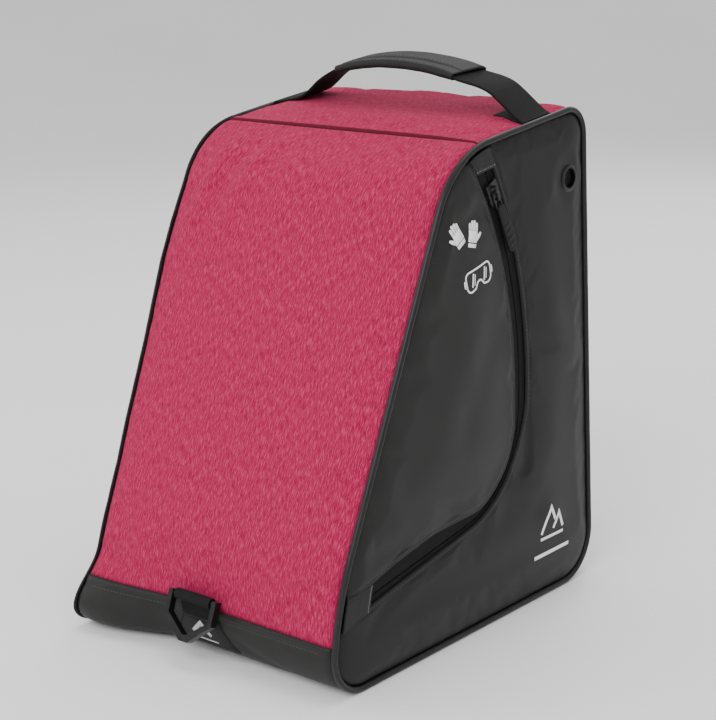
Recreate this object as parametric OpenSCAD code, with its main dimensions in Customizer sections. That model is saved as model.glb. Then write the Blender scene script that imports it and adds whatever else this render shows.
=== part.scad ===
// Ski boot bag: a wedge-shaped soft carrier with a rear zip door, two zipped side pockets, a carrying
// handle and two strap rings. Millimetres; +Z is up, -Y is the sloping front, and the origin is the
// middle of the flat base.

/* [Body] */
// Distance between the two side seams
body_w = 250; // [244:1:258]
// Depth of the base, from the toe corner to the heel corner
base_d = 338; // [330:1:346]
// Height of the top rear corner
back_h = 391; // [386:1:396]
// How far the top rear corner leans in over the heel
back_lean = 33.5; // [30:0.5:37]
// Height of the shoulder, where the slope meets the top
shoulder_h = 368; // [364:1:372]
// Shoulder's place along the depth, from the middle
shoulder_y = -33.5; // [-37:0.5:-30]
// Thickness of the padded front, top and back
skin = 5; // [4.5:0.1:5.5]

/* [Panels] */
// Height of the hard-wearing band round the foot
band_h = 41; // [38:1:44]
// Height of the seam between the top and the back
back_seam_h = 366; // [362:1:368]
// Place of the seam across the top, from the middle
cross_seam_y = 2; // [0:1:6]
// Diameter of the piping cord in the side seams
piping_d = 5; // [4.6:0.1:5]

/* [Rear door] */
// Half the width of the door, to the middle of its zip
door_hw = 100; // [98:1:101]
// Height of the door's zip at its top, measured up the back
door_top = 318; // [314:1:318]
// Height of the door's fold at its foot, measured up the back
door_foot = 46; // [46:1:50]
// Radius of the arched top of the zip
arch_r = 160; // [155:1:170]
// Radius of the zip's two corners
door_corner_r = 40; // [38:1:44]

/* [Side pockets] */
// Radius of the long rear curve of the pocket zip
track_r1 = 358; // [354:1:362]
// Radius of the zip's lower bend
track_r2 = 80; // [77:1:84]
// Height of the centre of both curves
track_z = 168; // [166:1:170]
// Rearmost point of the zip
track_y = 55; // [53:1:57]
// Outer diameter of the vent eyelet
eyelet_d = 21; // [20:0.5:22]

/* [Handle and rings] */
// Width of the handle webbing
webbing_w = 36; // [34:1:38]
// Place of the handle along the depth
handle_y = 75; // [70:1:80]
// Clear width inside a strap ring
ring_gap = 39; // [38.5:0.5:40]
// How far the front ring leans out from the bag at rest, in degrees
ring_lean = 20; // [0:1:25]

/* [Hidden] */

rose = "#b93f5c";
tarp = "#3c3d3b";
webbing_black = "#2a2b2a";
zip_black = "#1f201f";
metal_grey = "#55565a";

// Side outline, in the Y-Z plane: [y, z, corner radius], from the toe corner over the top to the heel.
foot_z = 1.6;
toe = [-base_d / 2, foot_z, 32];
slope_foot = [-base_d / 2 + 10, 75, 250];
shoulder = [shoulder_y, shoulder_h, 75];
back_top = [base_d / 2 - back_lean, back_h, 22];
heel = [base_d / 2, foot_z, 38];
outline = [toe, slope_foot, shoulder, back_top, heel];
arc_steps = [10, 8, 14, 8, 10];

piping_r = piping_d / 2;
seam_x = body_w / 2;
wall_x = seam_x - piping_r;
piping_inset = 0.9;
piping_sides = 10;

// The side walls stand proud of the seams, as a filled bag's sides do.
side_inset = 3.5;
tape_t = 1;
side_skin = 2.5;
side_in = wall_x;
tape_in = side_in + side_skin;
tape_out = tape_in + tape_t;
side_out = tape_out + side_skin;
lining_x = wall_x - 16.5;
lining_t = 1.5;
vent = [111, 336];
vent_bore_r = 7.5;
vent_tube_r = 9;
vent_hole_r = 9.2;
vent_back_t = 1.5;

// The board lies between the side linings, and between the rounded toe and heel.
board_hw = lining_x - 0.5;
board_front = -base_d / 2 + 38;
board_back = base_d / 2 - 42;
board_t = 2.5;

slot = 1.2;
lip = 12;
tape_hw = 16;
coil_hw = 3.5;
clear = 0.4;

track_c1 = [track_y - track_r1, track_z];
track_c2 = [track_y - track_r2, track_z];
track_turn = 80;
slider_a = 28;

// The zip's line runs on past the side outline at both ends, and the outline trims it.
track_over_a = 6;
track_top_run = 40;
track_low_run = 180;

// The tabs sewn over the zip's ends start at this angle of the long curve and at this depth along the side.
tab_top_a = 30;
tab_low_y = -122;
tab_t = 1.6;
tab_gap = 0.2;
tab_cut = 90;

back_angle = atan2(back_lean, back_h - foot_z);
arch_c = door_top - arch_r;
corner_x = door_hw - door_corner_r;
corner_a = asin(corner_x / (arch_r - door_corner_r));
corner_y = arch_c + (arch_r - door_corner_r) * cos(corner_a);
door_skin = 2.5;
door_lining_t = 3.5;
door_lip = 13;
door_tape_hw = 17;
door_coil_t = 1.5;
stop_h = 5;
stop_w = 3.8;
door_slider_a = 3.6;

top_angle = atan2(back_h - shoulder_h, back_top[0] - shoulder_y);
handle_z = shoulder_h + (handle_y - shoulder_y) * tan(top_angle);
grip_r = 235;
grip_x = 4;
grip_rise = 39;
grip_half_a = 14.2;
grip_t = 6.2;
grip_fit = 0.2;
webbing_t = 2.2;
foot_x = 105;
foot_x_left = 82;
foot_rise = 14.5;
foot_gap = 2.4;

ring_bar_r = 2.2;
ring_depth = 6;
ring_side = 4;
ring_drop = 14;
ring_point = 32;
ring_point_t = 5;
loop_bore_r = ring_bar_r + 0.3;
loop_outer_r = ring_bar_r + 1.9;
front_bar = [-172, 50];
rear_bar = [145, 368];

patch_t = 1.5;
patch_top_z = 35.5;
patch_foot_z = 12;
patch_top_hw = 17;
patch_foot_hw = 33;

slider_hw = 6.5;
slider_l = 17;
plate_t = 1.8;
bottom_t = 1.4;
bail_l = 12;
post_l = 1.4;
bail_r = 0.9;
bail_top = clear + 4.6;
bail_z = clear + plate_t + 1.05;
wire_r = 0.7;
grip_bore_r = wire_r + 0.05;
link_hw = 3;
link_l = 14;
loop_r = bail_r + wire_r + 0.1;
loop_l = 13;

function unit(v) = v / norm(v);
function foot_on(p, a, b) = a + unit(b - a) * ((p - a) * unit(b - a));
function flat(v) = [v[0], v[1]];
function corner_centre(a, b, c, r) =
    let (u = unit(a - b), w = unit(c - b)) b + unit(u + w) * r / sin(acos(u * w) / 2);
function heading(v) = atan2(v[1], v[0]);
function turn(from, to) = (to - from + 540) % 360 - 180;
function arc(c, r, a0, a1, n) = [for (i = [0:n]) let (a = a0 + (a1 - a0) * i / n) c + r * [cos(a), sin(a)]];
function reversed(list) = [for (i = [len(list) - 1:-1:0]) list[i]];

// One rounded corner of the side outline: [centre, radius, start angle, sweep].
function rounded(i) =
    let (
        n = len(outline),
        a = flat(outline[(i + n - 1) % n]), b = flat(outline[i]), c = flat(outline[(i + 1) % n]),
        r = outline[i][2], o = corner_centre(a, b, c, r),
        a0 = heading(foot_on(o, a, b) - o), a1 = heading(foot_on(o, b, c) - o)
    ) [o, r, a0, turn(a0, a1)];
// The outline's points, moved inwards by d.
function profile(d) = [for (i = [0:len(outline) - 1]) let (k = rounded(i))
    each arc(k[0], k[1] - d, k[2], k[2] + k[3], arc_steps[i])];

// The pocket zip's line on the side, moved outwards, away from the pocket, by d.
function track(d) =
    let (
        top_a = tab_top_a + track_over_a,
        start = track_c1 + (track_r1 + d) * [cos(top_a), sin(top_a)],
        end = track_c2 + (track_r2 + d) * [cos(-track_turn), sin(-track_turn)]
    ) concat(
        [start + track_top_run * [-sin(top_a), cos(top_a)]],
        arc(track_c1, track_r1 + d, top_a, 0, 20),
        arc(track_c2, track_r2 + d, -track_turn / 12, -track_turn, 11),
        [end + track_low_run * [-sin(track_turn), -cos(track_turn)]]
    );

// The door's zip line on the back, moved inwards by d, down to height y0 at both ends.
function door_line(d, y0) = concat(
    [[-(door_hw - d), y0]],
    arc([-corner_x, corner_y], door_corner_r - d, 180, 90 + corner_a, 8),
    arc([0, arch_c], arch_r - d, 90 + corner_a - 2, 90 - corner_a + 2, 14),
    arc([corner_x, corner_y], door_corner_r - d, 90 - corner_a, 0, 8),
    [[door_hw - d, y0]]
);

// Extrudes an outline in the Y-Z plane along X.
module across(x0, x1) translate([x0, 0, 0]) rotate([90, 0, 90]) linear_extrude(x1 - x0) children();

// Makes a piece on the right side, or mirrors it to the left (side = -1).
module on_side(side) mirror([side < 0 ? 1 : 0, 0, 0]) children();

// Places children on the back: X across, Y up the back, Z inwards from its face.
module on_back() translate([0, base_d / 2, foot_z]) rotate([90 + back_angle, 0, 0]) children();

// Places children on the top at the handle: Y runs back along the top, Z stands up from it.
module on_top() translate([0, handle_y, handle_z]) rotate([top_angle, 0, 0]) children();

// A slice of the padded skin inside a box in the Y-Z plane.
module skin_slice(y0, y1, z0, z1) intersection() {
    difference() {
        across(-wall_x, wall_x) polygon(profile(0));
        across(-wall_x - 1, wall_x + 1) polygon(profile(skin));
    }
    across(-wall_x, wall_x) translate([y0, z0]) square([y1 - y0, z1 - z0]);
}

module front_panel() color(rose) skin_slice(-base_d, cross_seam_y, band_h, back_h + 10);

module top_panel() color(rose) skin_slice(cross_seam_y, base_d, back_seam_h, back_h + 10);

module front_band() color(tarp) skin_slice(-base_d, -120, -5, band_h);

module back_band() color(tarp) skin_slice(120, base_d, -5, band_h);

module base_panel() color(tarp) translate([-wall_x + 0.2, -120, 0]) cube([2 * wall_x - 0.4, 240, skin]);

module base_board() color("#8d8f8c") translate([-board_hw, board_front, skin + foot_z])
    cube([2 * board_hw, board_back - board_front, board_t]);

module door_hole(d, z0, z1) on_back() translate([0, 0, z0]) linear_extrude(z1 - z0)
    polygon(door_line(d, door_foot));

module back_frame() color(tarp) difference() {
    skin_slice(100, base_d, band_h, back_seam_h);
    door_hole(-door_lip, -2, door_skin + 0.01);
    door_hole(-door_tape_hw, door_skin, skin + 2);
}

module side_plate(x0, x1, inset) across(x0, x1) polygon(profile(inset));

// The part of the side in front of the pocket zip, moved by d.
module pocket_area(x0, x1, d) across(x0, x1)
    polygon(concat(track(d), [[-base_d, 0], [-base_d, back_h + 90]]));

module vent_hole(r) translate([lining_x - 10, vent[0], vent[1]]) rotate([0, 90, 0])
    cylinder(r = r, h = 60, $fn = 48);

module side_panel(side) color(tarp) on_side(side) difference() {
    side_plate(side_in, side_out, side_inset);
    pocket_area(tape_out - 0.01, side_out + 1, lip);
    pocket_area(side_in - 1, tape_out, tape_hw);
    vent_hole(vent_hole_r);
}

module pocket_panel(side) color(tarp) on_side(side) intersection() {
    side_plate(side_in, side_out, side_inset);
    union() {
        pocket_area(tape_out, side_out, -lip);
        pocket_area(side_in, tape_out, -tape_hw);
    }
}

module side_lining(side) color("#77797a") on_side(side) difference() {
    side_plate(lining_x, lining_x + lining_t, skin + 0.1);
    vent_hole(vent_bore_r);
}

// The cord in a side seam: a round tube that follows the side outline.
module piping(side) color(webbing_black) on_side(side) {
    path = profile(piping_inset);
    n = len(path);
    polyhedron(
        points = [for (i = [0:n - 1]) let (out = outwards(path, i)) for (j = [0:piping_sides - 1])
            let (t = 360 * j / piping_sides)
            [seam_x + piping_r * cos(t), path[i][0] + piping_r * sin(t) * out[0],
                path[i][1] + piping_r * sin(t) * out[1]]],
        faces = [for (i = [0:n - 1]) for (j = [0:piping_sides - 1])
            [tube(n, i, j), tube(n, i + 1, j), tube(n, i + 1, j + 1), tube(n, i, j + 1)]]
    );
}
function tube(n, i, j) = (i % n) * piping_sides + j % piping_sides;
function outwards(path, i) =
    let (n = len(path), d = unit(path[(i + 1) % n] - path[(i + n - 1) % n])) [-d[1], d[0]];

// A strip of the pocket zip between two offsets from its line, inside the side outline.
module track_strip(x0, x1, d0, d1) intersection() {
    across(x0, x1) polygon(concat(track(d0), reversed(track(d1))));
    side_plate(x0 - 1, x1 + 1, side_inset + 0.1);
}

module pocket_zip_tape(side) color(zip_black) on_side(side) for (s = [-1, 1])
    track_strip(tape_in, tape_out, s * slot / 2, s * tape_hw);

module pocket_zip_coil(side) color(zip_black) on_side(side) for (s = [-1, 1])
    intersection() {
        track_strip(side_in, tape_in, s * slot / 2, s * coil_hw);
        side_plate(side_in - 1, tape_in + 1, 16);
    }

// A tab sewn over an end of the zip, trimmed by a shape in the Y-Z plane.
module zip_tab() intersection() {
    track_strip(tape_out, tape_out + tab_t, -lip + tab_gap, lip - tab_gap);
    across(tape_out - 1, side_out) children();
}

module zip_tab_top(side) color(tarp) on_side(side) zip_tab()
    translate(track_c1) rotate(tab_top_a) translate([track_r1 - tab_cut / 2, 0]) square(tab_cut);

module zip_tab_bottom(side) color(tarp) on_side(side) zip_tab()
    translate([tab_low_y, band_h]) rotate(90 - track_turn) translate([-tab_cut, -tab_cut / 2])
        square(tab_cut);

module eyelet(side) color("#151515") on_side(side) translate([0, vent[0], vent[1]]) rotate([0, 90, 0])
    difference() {
    union() {
        translate([0, 0, side_out]) cylinder(d = eyelet_d, h = 1.2, $fn = 64);
        translate([0, 0, side_out + 1.2]) cylinder(d1 = eyelet_d, d2 = eyelet_d - 3, h = 0.8, $fn = 64);
        translate([0, 0, side_in - vent_back_t])
            cylinder(r = vent_tube_r, h = side_out - side_in + vent_back_t + 0.1, $fn = 64);
        translate([0, 0, side_in - vent_back_t]) cylinder(d = eyelet_d, h = vent_back_t, $fn = 64);
    }
    translate([0, 0, side_in - 5]) cylinder(r = vent_bore_r, h = 20, $fn = 64);
}

module eyelet_mesh(side) color("#101010") on_side(side)
    translate([tape_out, vent[0], vent[1]]) rotate([0, 90, 0])
    cylinder(r = vent_bore_r, h = 0.6, $fn = 64);

// A thin band that follows a line of points across the bag, seen from the front.
module ribbon(points, thick, width) translate([0, width / 2, 0]) rotate([90, 0, 0]) linear_extrude(width)
    polygon(concat(
        [for (i = [0:len(points) - 1]) points[i] + thick / 2 * side_of(points, i)],
        [for (i = [len(points) - 1:-1:0]) points[i] - thick / 2 * side_of(points, i)]
    ));
function side_of(points, i) =
    let (d = unit(points[min(i + 1, len(points) - 1)] - points[max(i - 1, 0)])) [-d[1], d[0]];

grip_c = [grip_x, grip_rise - grip_r];
function grip_line(a) = arc(grip_c, grip_r, 90 + a, 90 - a, 16);
grip_left = grip_line(grip_half_a)[0];
grip_right = grip_line(grip_half_a)[16];

// The webbing from the foot's free end to the grip, on each side, and the fixed foot below it.
strap_right = [[foot_x, foot_rise], grip_right + [4, -2.6]];
strap_left = [[-foot_x_left, foot_rise], grip_left + [-3, -3]];

module handle_anchor_right() color(webbing_black) on_top()
    ribbon([[seam_x - 2.6, 2.2], strap_right[0] + foot_gap * unit(strap_right[0] - strap_right[1])],
        webbing_t, webbing_w);

module handle_anchor_left() color(webbing_black) on_top()
    ribbon([[-seam_x + 2.6, 1.8], [-foot_x_left - 9, 6.5],
        strap_left[0] + foot_gap * unit(strap_left[0] - strap_left[1])], webbing_t, webbing_w);

module handle_webbing() color(webbing_black) on_top()
    ribbon(concat([strap_left[0]], grip_line(grip_half_a + 0.4), [strap_right[0]]), webbing_t, webbing_w);

module handle_grip() color(tarp) on_top() difference() {
    ribbon(grip_line(grip_half_a - 0.5), grip_t, webbing_w + 3);
    ribbon(grip_line(grip_half_a + 1), webbing_t + 2 * grip_fit, webbing_w + 2 * grip_fit);
}

// A ring's outline: straight sides down to drop, then slants to a blunt point.
module ring_outline(half, top, drop, point, blunt)
    polygon([[-half, top], [-half, -drop], [-blunt, -point], [blunt, -point], [half, -drop], [half, top]]);

// A pointed strap ring hanging from its bar, which lies on the X axis.
module strap_ring() {
    half_in = ring_gap / 2;
    half_out = half_in + ring_side;
    rotate([90, 0, 0]) translate([0, 0, -ring_depth / 2]) linear_extrude(ring_depth) difference() {
        ring_outline(half_out, ring_bar_r, ring_drop + 2, ring_point, 4);
        ring_outline(half_in, ring_bar_r + 1, ring_drop, ring_point - ring_point_t, 2);
    }
    rotate([0, 90, 0]) cylinder(r = ring_bar_r, h = 2 * half_in + 2, center = true, $fn = 48);
}

// A folded webbing tab round a ring's bar; tail is its sewn end, in the Y-Z plane, from the bar's centre.
module ring_loop(tail) difference() {
    union() {
        rotate([0, 90, 0]) cylinder(r = loop_outer_r, h = webbing_w, center = true, $fn = 48);
        across(-webbing_w / 2, webbing_w / 2) polygon(tail);
    }
    rotate([0, 90, 0]) cylinder(r = loop_bore_r, h = webbing_w + 2, center = true, $fn = 48);
}

module front_ring() color("#1a1a1a") translate([0, front_bar[0], front_bar[1]]) rotate([-ring_lean, 0, 0])
    strap_ring();

module front_ring_tab() color(webbing_black) translate([0, front_bar[0], front_bar[1]])
    ring_loop([[-3, -2.5], [3, 2.5], [7.8, -5], [7.8, -12.5]]);

module rear_ring() color("#1a1a1a") translate([0, rear_bar[0], rear_bar[1]]) strap_ring();

module rear_ring_tab() color(webbing_black) translate([0, rear_bar[0], rear_bar[1]])
    ring_loop([[2.6, -2.6], [-2, 3.4], [-7.3, -1.5], [-6.6, -8.5]]);

// The moulded patch behind the front ring: wide at its foot, on the band's rounded face.
module front_patch() color("#202120") intersection() {
    difference() {
        across(-patch_foot_hw, patch_foot_hw) polygon(profile(-patch_t));
        across(-patch_foot_hw - 1, patch_foot_hw + 1) polygon(profile(0));
    }
    rotate([90, 0, 0]) linear_extrude(base_d) polygon([
        [-patch_top_hw, patch_top_z], [patch_top_hw, patch_top_z],
        [patch_foot_hw, patch_foot_z], [-patch_foot_hw, patch_foot_z]]);
}

// A strip along the door's zip between two offsets from its line, down to height y0.
module door_strip(z0, z1, d0, d1, y0) on_back() translate([0, 0, z0]) linear_extrude(z1 - z0)
    polygon(concat(door_line(d0, y0), reversed(door_line(d1, y0))));

module main_zip_tape() color(zip_black)
    door_strip(door_skin, door_skin + tape_t, -slot / 2, -door_tape_hw, door_foot + 0.5);

module main_zip_coil() color(zip_black)
    door_strip(door_skin - door_coil_t, door_skin, -slot / 2, -coil_hw, door_foot + stop_h + 1);

module door_zip_tape() color(zip_black)
    door_strip(door_skin, door_skin + tape_t, slot / 2, door_tape_hw, door_foot + 1);

module door_zip_coil() color(zip_black)
    door_strip(door_skin - door_coil_t, door_skin, slot / 2, coil_hw, door_foot + 1);

module door_plate(z0, z1, d) on_back() translate([0, 0, z0]) linear_extrude(z1 - z0)
    polygon(door_line(d, door_foot + 1));

module door_panel() color(tarp) door_plate(0, door_skin, door_lip);

module door_lining() color("#5d5f60") door_plate(door_skin, door_skin + door_lining_t, door_tape_hw);

module zip_end_stops() color(metal_grey) for (s = [-1, 1]) on_back()
    translate([s * (door_hw + 2.6) - stop_w / 2, door_foot + 0.5, door_skin - door_coil_t])
        cube([stop_w, stop_h, door_coil_t]);

// A zip slider. X is across the track, Y along it, Z outwards from the chain's face; depth is the chain's.
module slider(depth, half_bottom) {
    bridge_hw = 0.3;
    bottom_hw = slider_hw - 0.5;
    bottom_x = half_bottom ? -bridge_hw : -bottom_hw;
    translate([-slider_hw, -slider_l / 2, clear]) cube([2 * slider_hw, slider_l, plate_t]);
    translate([-bridge_hw, -4, -depth - clear - 0.1]) cube([2 * bridge_hw, 8, depth + 2 * clear + 0.2]);
    translate([bottom_x, 1 - slider_l / 2, -depth - clear - bottom_t])
        cube([bottom_hw - bottom_x, slider_l - 2, bottom_t]);
    for (y = [-bail_l / 2, bail_l / 2 - post_l]) translate([-bail_r, y, clear + plate_t - 0.1])
        cube([2 * bail_r, post_l, bail_top - clear - plate_t + 0.1]);
    translate([0, -bail_l / 2, bail_top]) rotate([-90, 0, 0]) cylinder(r = bail_r, h = bail_l, $fn = 32);
}

// The wire link in a slider's bail, hanging towards -Y from the bar on its hinge axis.
module pull_link() translate([0, 0, bail_z]) {
    for (y = [0, -link_l]) translate([0, y, 0]) rotate([0, 90, 0])
        cylinder(r = wire_r, h = 2 * (link_hw + wire_r), center = true, $fn = 24);
    for (x = [-link_hw, link_hw]) translate([x, 0, 0]) rotate([90, 0, 0])
        cylinder(r = wire_r, h = link_l + wire_r, $fn = 24);
}

// The moulded tab that grips the link's far end.
module pull_tab() translate([0, 0, bail_z]) difference() {
    translate([0, 0, -0.3]) linear_extrude(2.4) polygon(concat(
        arc([0, -link_l], 4.2, 0, 180, 12), arc([0, -link_l - 32], 5, 180, 360, 14)));
    translate([0, -link_l, 0]) rotate([0, 90, 0]) cylinder(r = grip_bore_r, h = 20, center = true, $fn = 24);
    for (x = [-link_hw, link_hw]) translate([x, 0, 0]) rotate([90, 0, 0])
        cylinder(r = grip_bore_r, h = link_l + wire_r + 0.1, $fn = 24);
}

// Puts a slider's frame on the pocket zip: at angle a of its long curve, on the tape's outer face.
module at_track(side, a) on_side(side) translate([tape_out, track_c1[0], track_c1[1]]) rotate([a, 0, 0])
    translate([0, track_r1, 0]) rotate([0, 90, 0]) rotate([0, 0, 90]) children();

module pocket_slider(side) color(metal_grey) at_track(side, slider_a) slider(tape_out - side_in, false);

module pocket_pull_link(side) color(metal_grey) at_track(side, slider_a) pull_link();

module pocket_pull_tab(side) color("#262626") at_track(side, slider_a) pull_tab();

// Puts a slider's frame on the door's arch, a degrees from its middle, with X across the track.
module at_arch(side, a) on_back() translate([0, arch_c, door_skin - door_coil_t]) rotate([0, 0, -side * a])
    translate([0, arch_r, 0]) children();

module main_slider(side) color(metal_grey) at_arch(side, door_slider_a) rotate([0, 0, -90]) mirror([0, 0, 1])
    slider(door_coil_t + tape_t, true);

// A wire loop round a slider's bail, in the Y-Z plane, hanging towards -Y.
module pull_loop() translate([0, 0, bail_top]) rotate([0, 90, 0]) {
    rotate_extrude(angle = 180, $fn = 48) translate([loop_r, 0]) circle(r = wire_r, $fn = 24);
    translate([0, -loop_l, 0]) rotate([0, 0, 180]) rotate_extrude(angle = 180, $fn = 48)
        translate([loop_r, 0]) circle(r = wire_r, $fn = 24);
    for (x = [-loop_r, loop_r]) translate([x, 0, 0]) rotate([90, 0, 0])
        cylinder(r = wire_r, h = loop_l, $fn = 24);
}

// The moulded tab on a wire loop: a flat tab with an eye at its top.
module loop_tab() translate([0, -loop_l, bail_top]) difference() {
    translate([0, 0, -0.8]) linear_extrude(1.6) polygon(concat(
        arc([0, -0.6], 3.6, 0, 180, 12), arc([0, -32], 4.6, 180, 360, 14)));
    translate([0, -loop_r, -2]) cylinder(r = wire_r + 0.3, h = 4, $fn = 32);
}

// The pulls hang straight down from sliders that sit on the slope of the arch.
module hanging_pull(side) at_arch(side, door_slider_a) rotate([0, 0, side * door_slider_a]) mirror([0, 0, 1])
    children();

module main_pull_link(side) color(metal_grey) hanging_pull(side) pull_loop();

module main_pull_tab(side) color("#262626") hanging_pull(side) loop_tab();

front_panel();
top_panel();
front_band();
base_panel();
base_board();
back_band();
back_frame();
side_panel(1);  // side_panel_right
side_panel(-1);  // side_panel_left
pocket_panel(1);  // pocket_panel_right
pocket_panel(-1);  // pocket_panel_left
side_lining(1);  // side_lining_right
side_lining(-1);  // side_lining_left
piping(1);  // piping_right
piping(-1);  // piping_left
pocket_zip_tape(1);  // pocket_zip_tape_right
pocket_zip_tape(-1);  // pocket_zip_tape_left
pocket_zip_coil(1);  // pocket_zip_coil_right
pocket_zip_coil(-1);  // pocket_zip_coil_left
zip_tab_top(1);  // zip_tab_top_right
zip_tab_top(-1);  // zip_tab_top_left
zip_tab_bottom(1);  // zip_tab_bottom_right
zip_tab_bottom(-1);  // zip_tab_bottom_left
eyelet(1);  // eyelet_right
eyelet(-1);  // eyelet_left
eyelet_mesh(1);  // eyelet_mesh_right
eyelet_mesh(-1);  // eyelet_mesh_left
handle_anchor_right();
handle_anchor_left();
handle_webbing();
handle_grip();
front_ring_tab();
front_ring();
front_patch();
rear_ring_tab();
rear_ring();
main_zip_tape();
main_zip_coil();
zip_end_stops();
door_panel();
door_lining();
door_zip_tape();
door_zip_coil();
main_slider(1);  // main_slider_right
main_slider(-1);  // main_slider_left
main_pull_link(1);  // main_pull_link_right
main_pull_link(-1);  // main_pull_link_left
main_pull_tab(1);  // main_pull_tab_right
main_pull_tab(-1);  // main_pull_tab_left
pocket_slider(1);  // pocket_slider_right
pocket_slider(-1);  // pocket_slider_left
pocket_pull_link(1);  // pocket_pull_link_right
pocket_pull_link(-1);  // pocket_pull_link_left
pocket_pull_tab(1);  // pocket_pull_tab_right
pocket_pull_tab(-1);  // pocket_pull_tab_left
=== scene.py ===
"""Ski boot bag: the fabric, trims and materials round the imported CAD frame.

Shapes are worked out in millimetres in the CAD frame (+X right, -Y front, +Z up) and become metres in make().
"""
import math

import bmesh
import bpy
import numpy as np
from mathutils import Matrix, Vector
from mathutils.bvhtree import BVHTree


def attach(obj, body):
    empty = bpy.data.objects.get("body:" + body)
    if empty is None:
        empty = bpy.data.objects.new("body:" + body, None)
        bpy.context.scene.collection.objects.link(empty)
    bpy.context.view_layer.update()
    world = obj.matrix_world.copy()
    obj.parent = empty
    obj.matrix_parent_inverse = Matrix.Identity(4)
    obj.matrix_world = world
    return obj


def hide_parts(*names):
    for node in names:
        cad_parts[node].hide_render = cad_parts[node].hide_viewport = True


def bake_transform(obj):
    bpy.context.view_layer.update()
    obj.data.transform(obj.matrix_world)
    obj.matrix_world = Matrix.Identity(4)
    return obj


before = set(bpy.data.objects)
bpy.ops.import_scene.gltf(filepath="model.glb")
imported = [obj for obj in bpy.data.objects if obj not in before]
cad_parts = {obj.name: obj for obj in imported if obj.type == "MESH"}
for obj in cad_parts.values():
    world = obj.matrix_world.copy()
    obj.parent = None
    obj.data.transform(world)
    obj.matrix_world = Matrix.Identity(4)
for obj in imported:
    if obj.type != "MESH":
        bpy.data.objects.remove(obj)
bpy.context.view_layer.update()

MM = 0.001
SIDES = (("right", 1), ("left", -1))

# ------------------------------------------------ camera

CAMERA_AT = Vector((0.8257, -1.0002, 0.5225))
CAMERA_TARGET = Vector((0.0092, 0.0045, 0.1948))
camera = bpy.data.objects.new("camera", bpy.data.cameras.new("camera"))
camera.location = CAMERA_AT
camera.rotation_euler = (CAMERA_TARGET - CAMERA_AT).to_track_quat("-Z", "Y").to_euler()
camera.data.lens = 85.85
camera.data.sensor_width = 36
bpy.context.scene.collection.objects.link(camera)
bpy.context.scene.camera = camera

# ------------------------------------------------ driving dimensions, as in the CAD

BASE_D, BACK_H, BACK_LEAN, FOOT_Z = 338.0, 391.0, 33.5, 1.6
SHOULDER = (-33.5, 368.0)
CORNERS = [  # y, z, radius: toe, foot of the slope, shoulder, top of the back, heel
    (-BASE_D / 2, FOOT_Z, 32), (-BASE_D / 2 + 10, 75, 250), (*SHOULDER, 75),
    (BASE_D / 2 - BACK_LEAN, BACK_H, 22), (BASE_D / 2, FOOT_Z, 38)]
SKIN = 5.0
WALL_X = 122.5
SEAM_X = 125.0
PIPING_R = 2.5
PIPING_INSET = 0.9
BAND_H = 41.0
BACK_SEAM_H = 366.0
CROSS_SEAM_Y = 2.0
TAPE_OUT = 126.0
SIDE_LEVEL = 128.2
SIDE_INSET = 3.6
TRACK_R, BEND_R, TRACK_Y, TRACK_Z, TRACK_TURN = 358.0, 80.0, 55.0, 168.0, 80.0
TRACK_TOP = 36.0
SLIDER_A = 28.0
DOOR_HW, DOOR_TOP, DOOR_FOOT, ARCH_R, DOOR_R = 100.0, 318.0, 46.0, 160.0, 40.0
DOOR_LIP, DOOR_TAPE, DOOR_SKIN = 13.0, 17.0, 2.5
SLIT = 1.2
STITCH_IN = 2.9
LINING_X = 106.75
HANDLE_Y = 75.0
WEBBING_W, WEBBING_T = 36.0, 2.2

# ------------------------------------------------ small geometry helpers


def unit(v):
    return v / np.linalg.norm(v)


def smooth(t):
    t = np.clip(t, 0, 1)
    return t * t * (3 - 2 * t)


def arc(centre, r, a0, a1, step=2.0):
    """Points of an arc from angle a0 to a1 in degrees, about step apart."""
    n = max(2, int(abs(math.radians(a1 - a0)) * max(r, 1) / step) + 1)
    a = np.radians(np.linspace(a0, a1, n + 1))
    return np.asarray(centre) + r * np.column_stack([np.cos(a), np.sin(a)])


def lengths(points):
    """The distance along a polyline to each of its points."""
    return np.r_[0, np.cumsum(np.linalg.norm(np.diff(points, axis=0), axis=1))]


def along(points, s):
    """Points at distances s along a polyline."""
    at = lengths(points)
    return np.column_stack([np.interp(s, at, points[:, k]) for k in range(points.shape[1])])


def resample(points, n):
    return along(points, np.linspace(0, lengths(points)[-1], n))


def rounded_corner(i, inset):
    """One rounded corner of the side outline, moved inwards, as the CAD has it."""
    a, b, c = (np.array(CORNERS[(i + k) % len(CORNERS)][:2], float) for k in (-1, 0, 1))
    r = CORNERS[i][2]
    u, w = unit(a - b), unit(c - b)
    centre = b + unit(u + w) * r / math.sin(math.acos(u @ w) / 2)
    first = a + unit(b - a) * ((centre - a) @ unit(b - a)) - centre
    last = b + unit(c - b) * ((centre - b) @ unit(c - b)) - centre
    a0, a1 = (math.degrees(math.atan2(v[1], v[0])) for v in (first, last))
    turn = (a1 - a0 + 540) % 360 - 180
    return arc(centre, r - inset, a0, a0 + turn)


def outline(inset=0.0):
    """The side outline in (y, z), from the toe over the top to the heel, not closed."""
    return np.vstack([rounded_corner(i, inset) for i in range(len(CORNERS))])


def closed(points):
    return np.vstack([points, points[:1]])


RIM = closed(outline())
RIM_S = lengths(RIM)


def rim_at(s):
    """Points and outward normals of the side outline at distances s along it."""
    p = along(RIM, s)
    d = along(RIM, np.clip(s + 1.5, 0, RIM_S[-1])) - along(RIM, np.clip(s - 1.5, 0, RIM_S[-1]))
    d /= np.linalg.norm(d, axis=1)[:, None]
    return p, np.column_stack([-d[:, 1], d[:, 0]])


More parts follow.
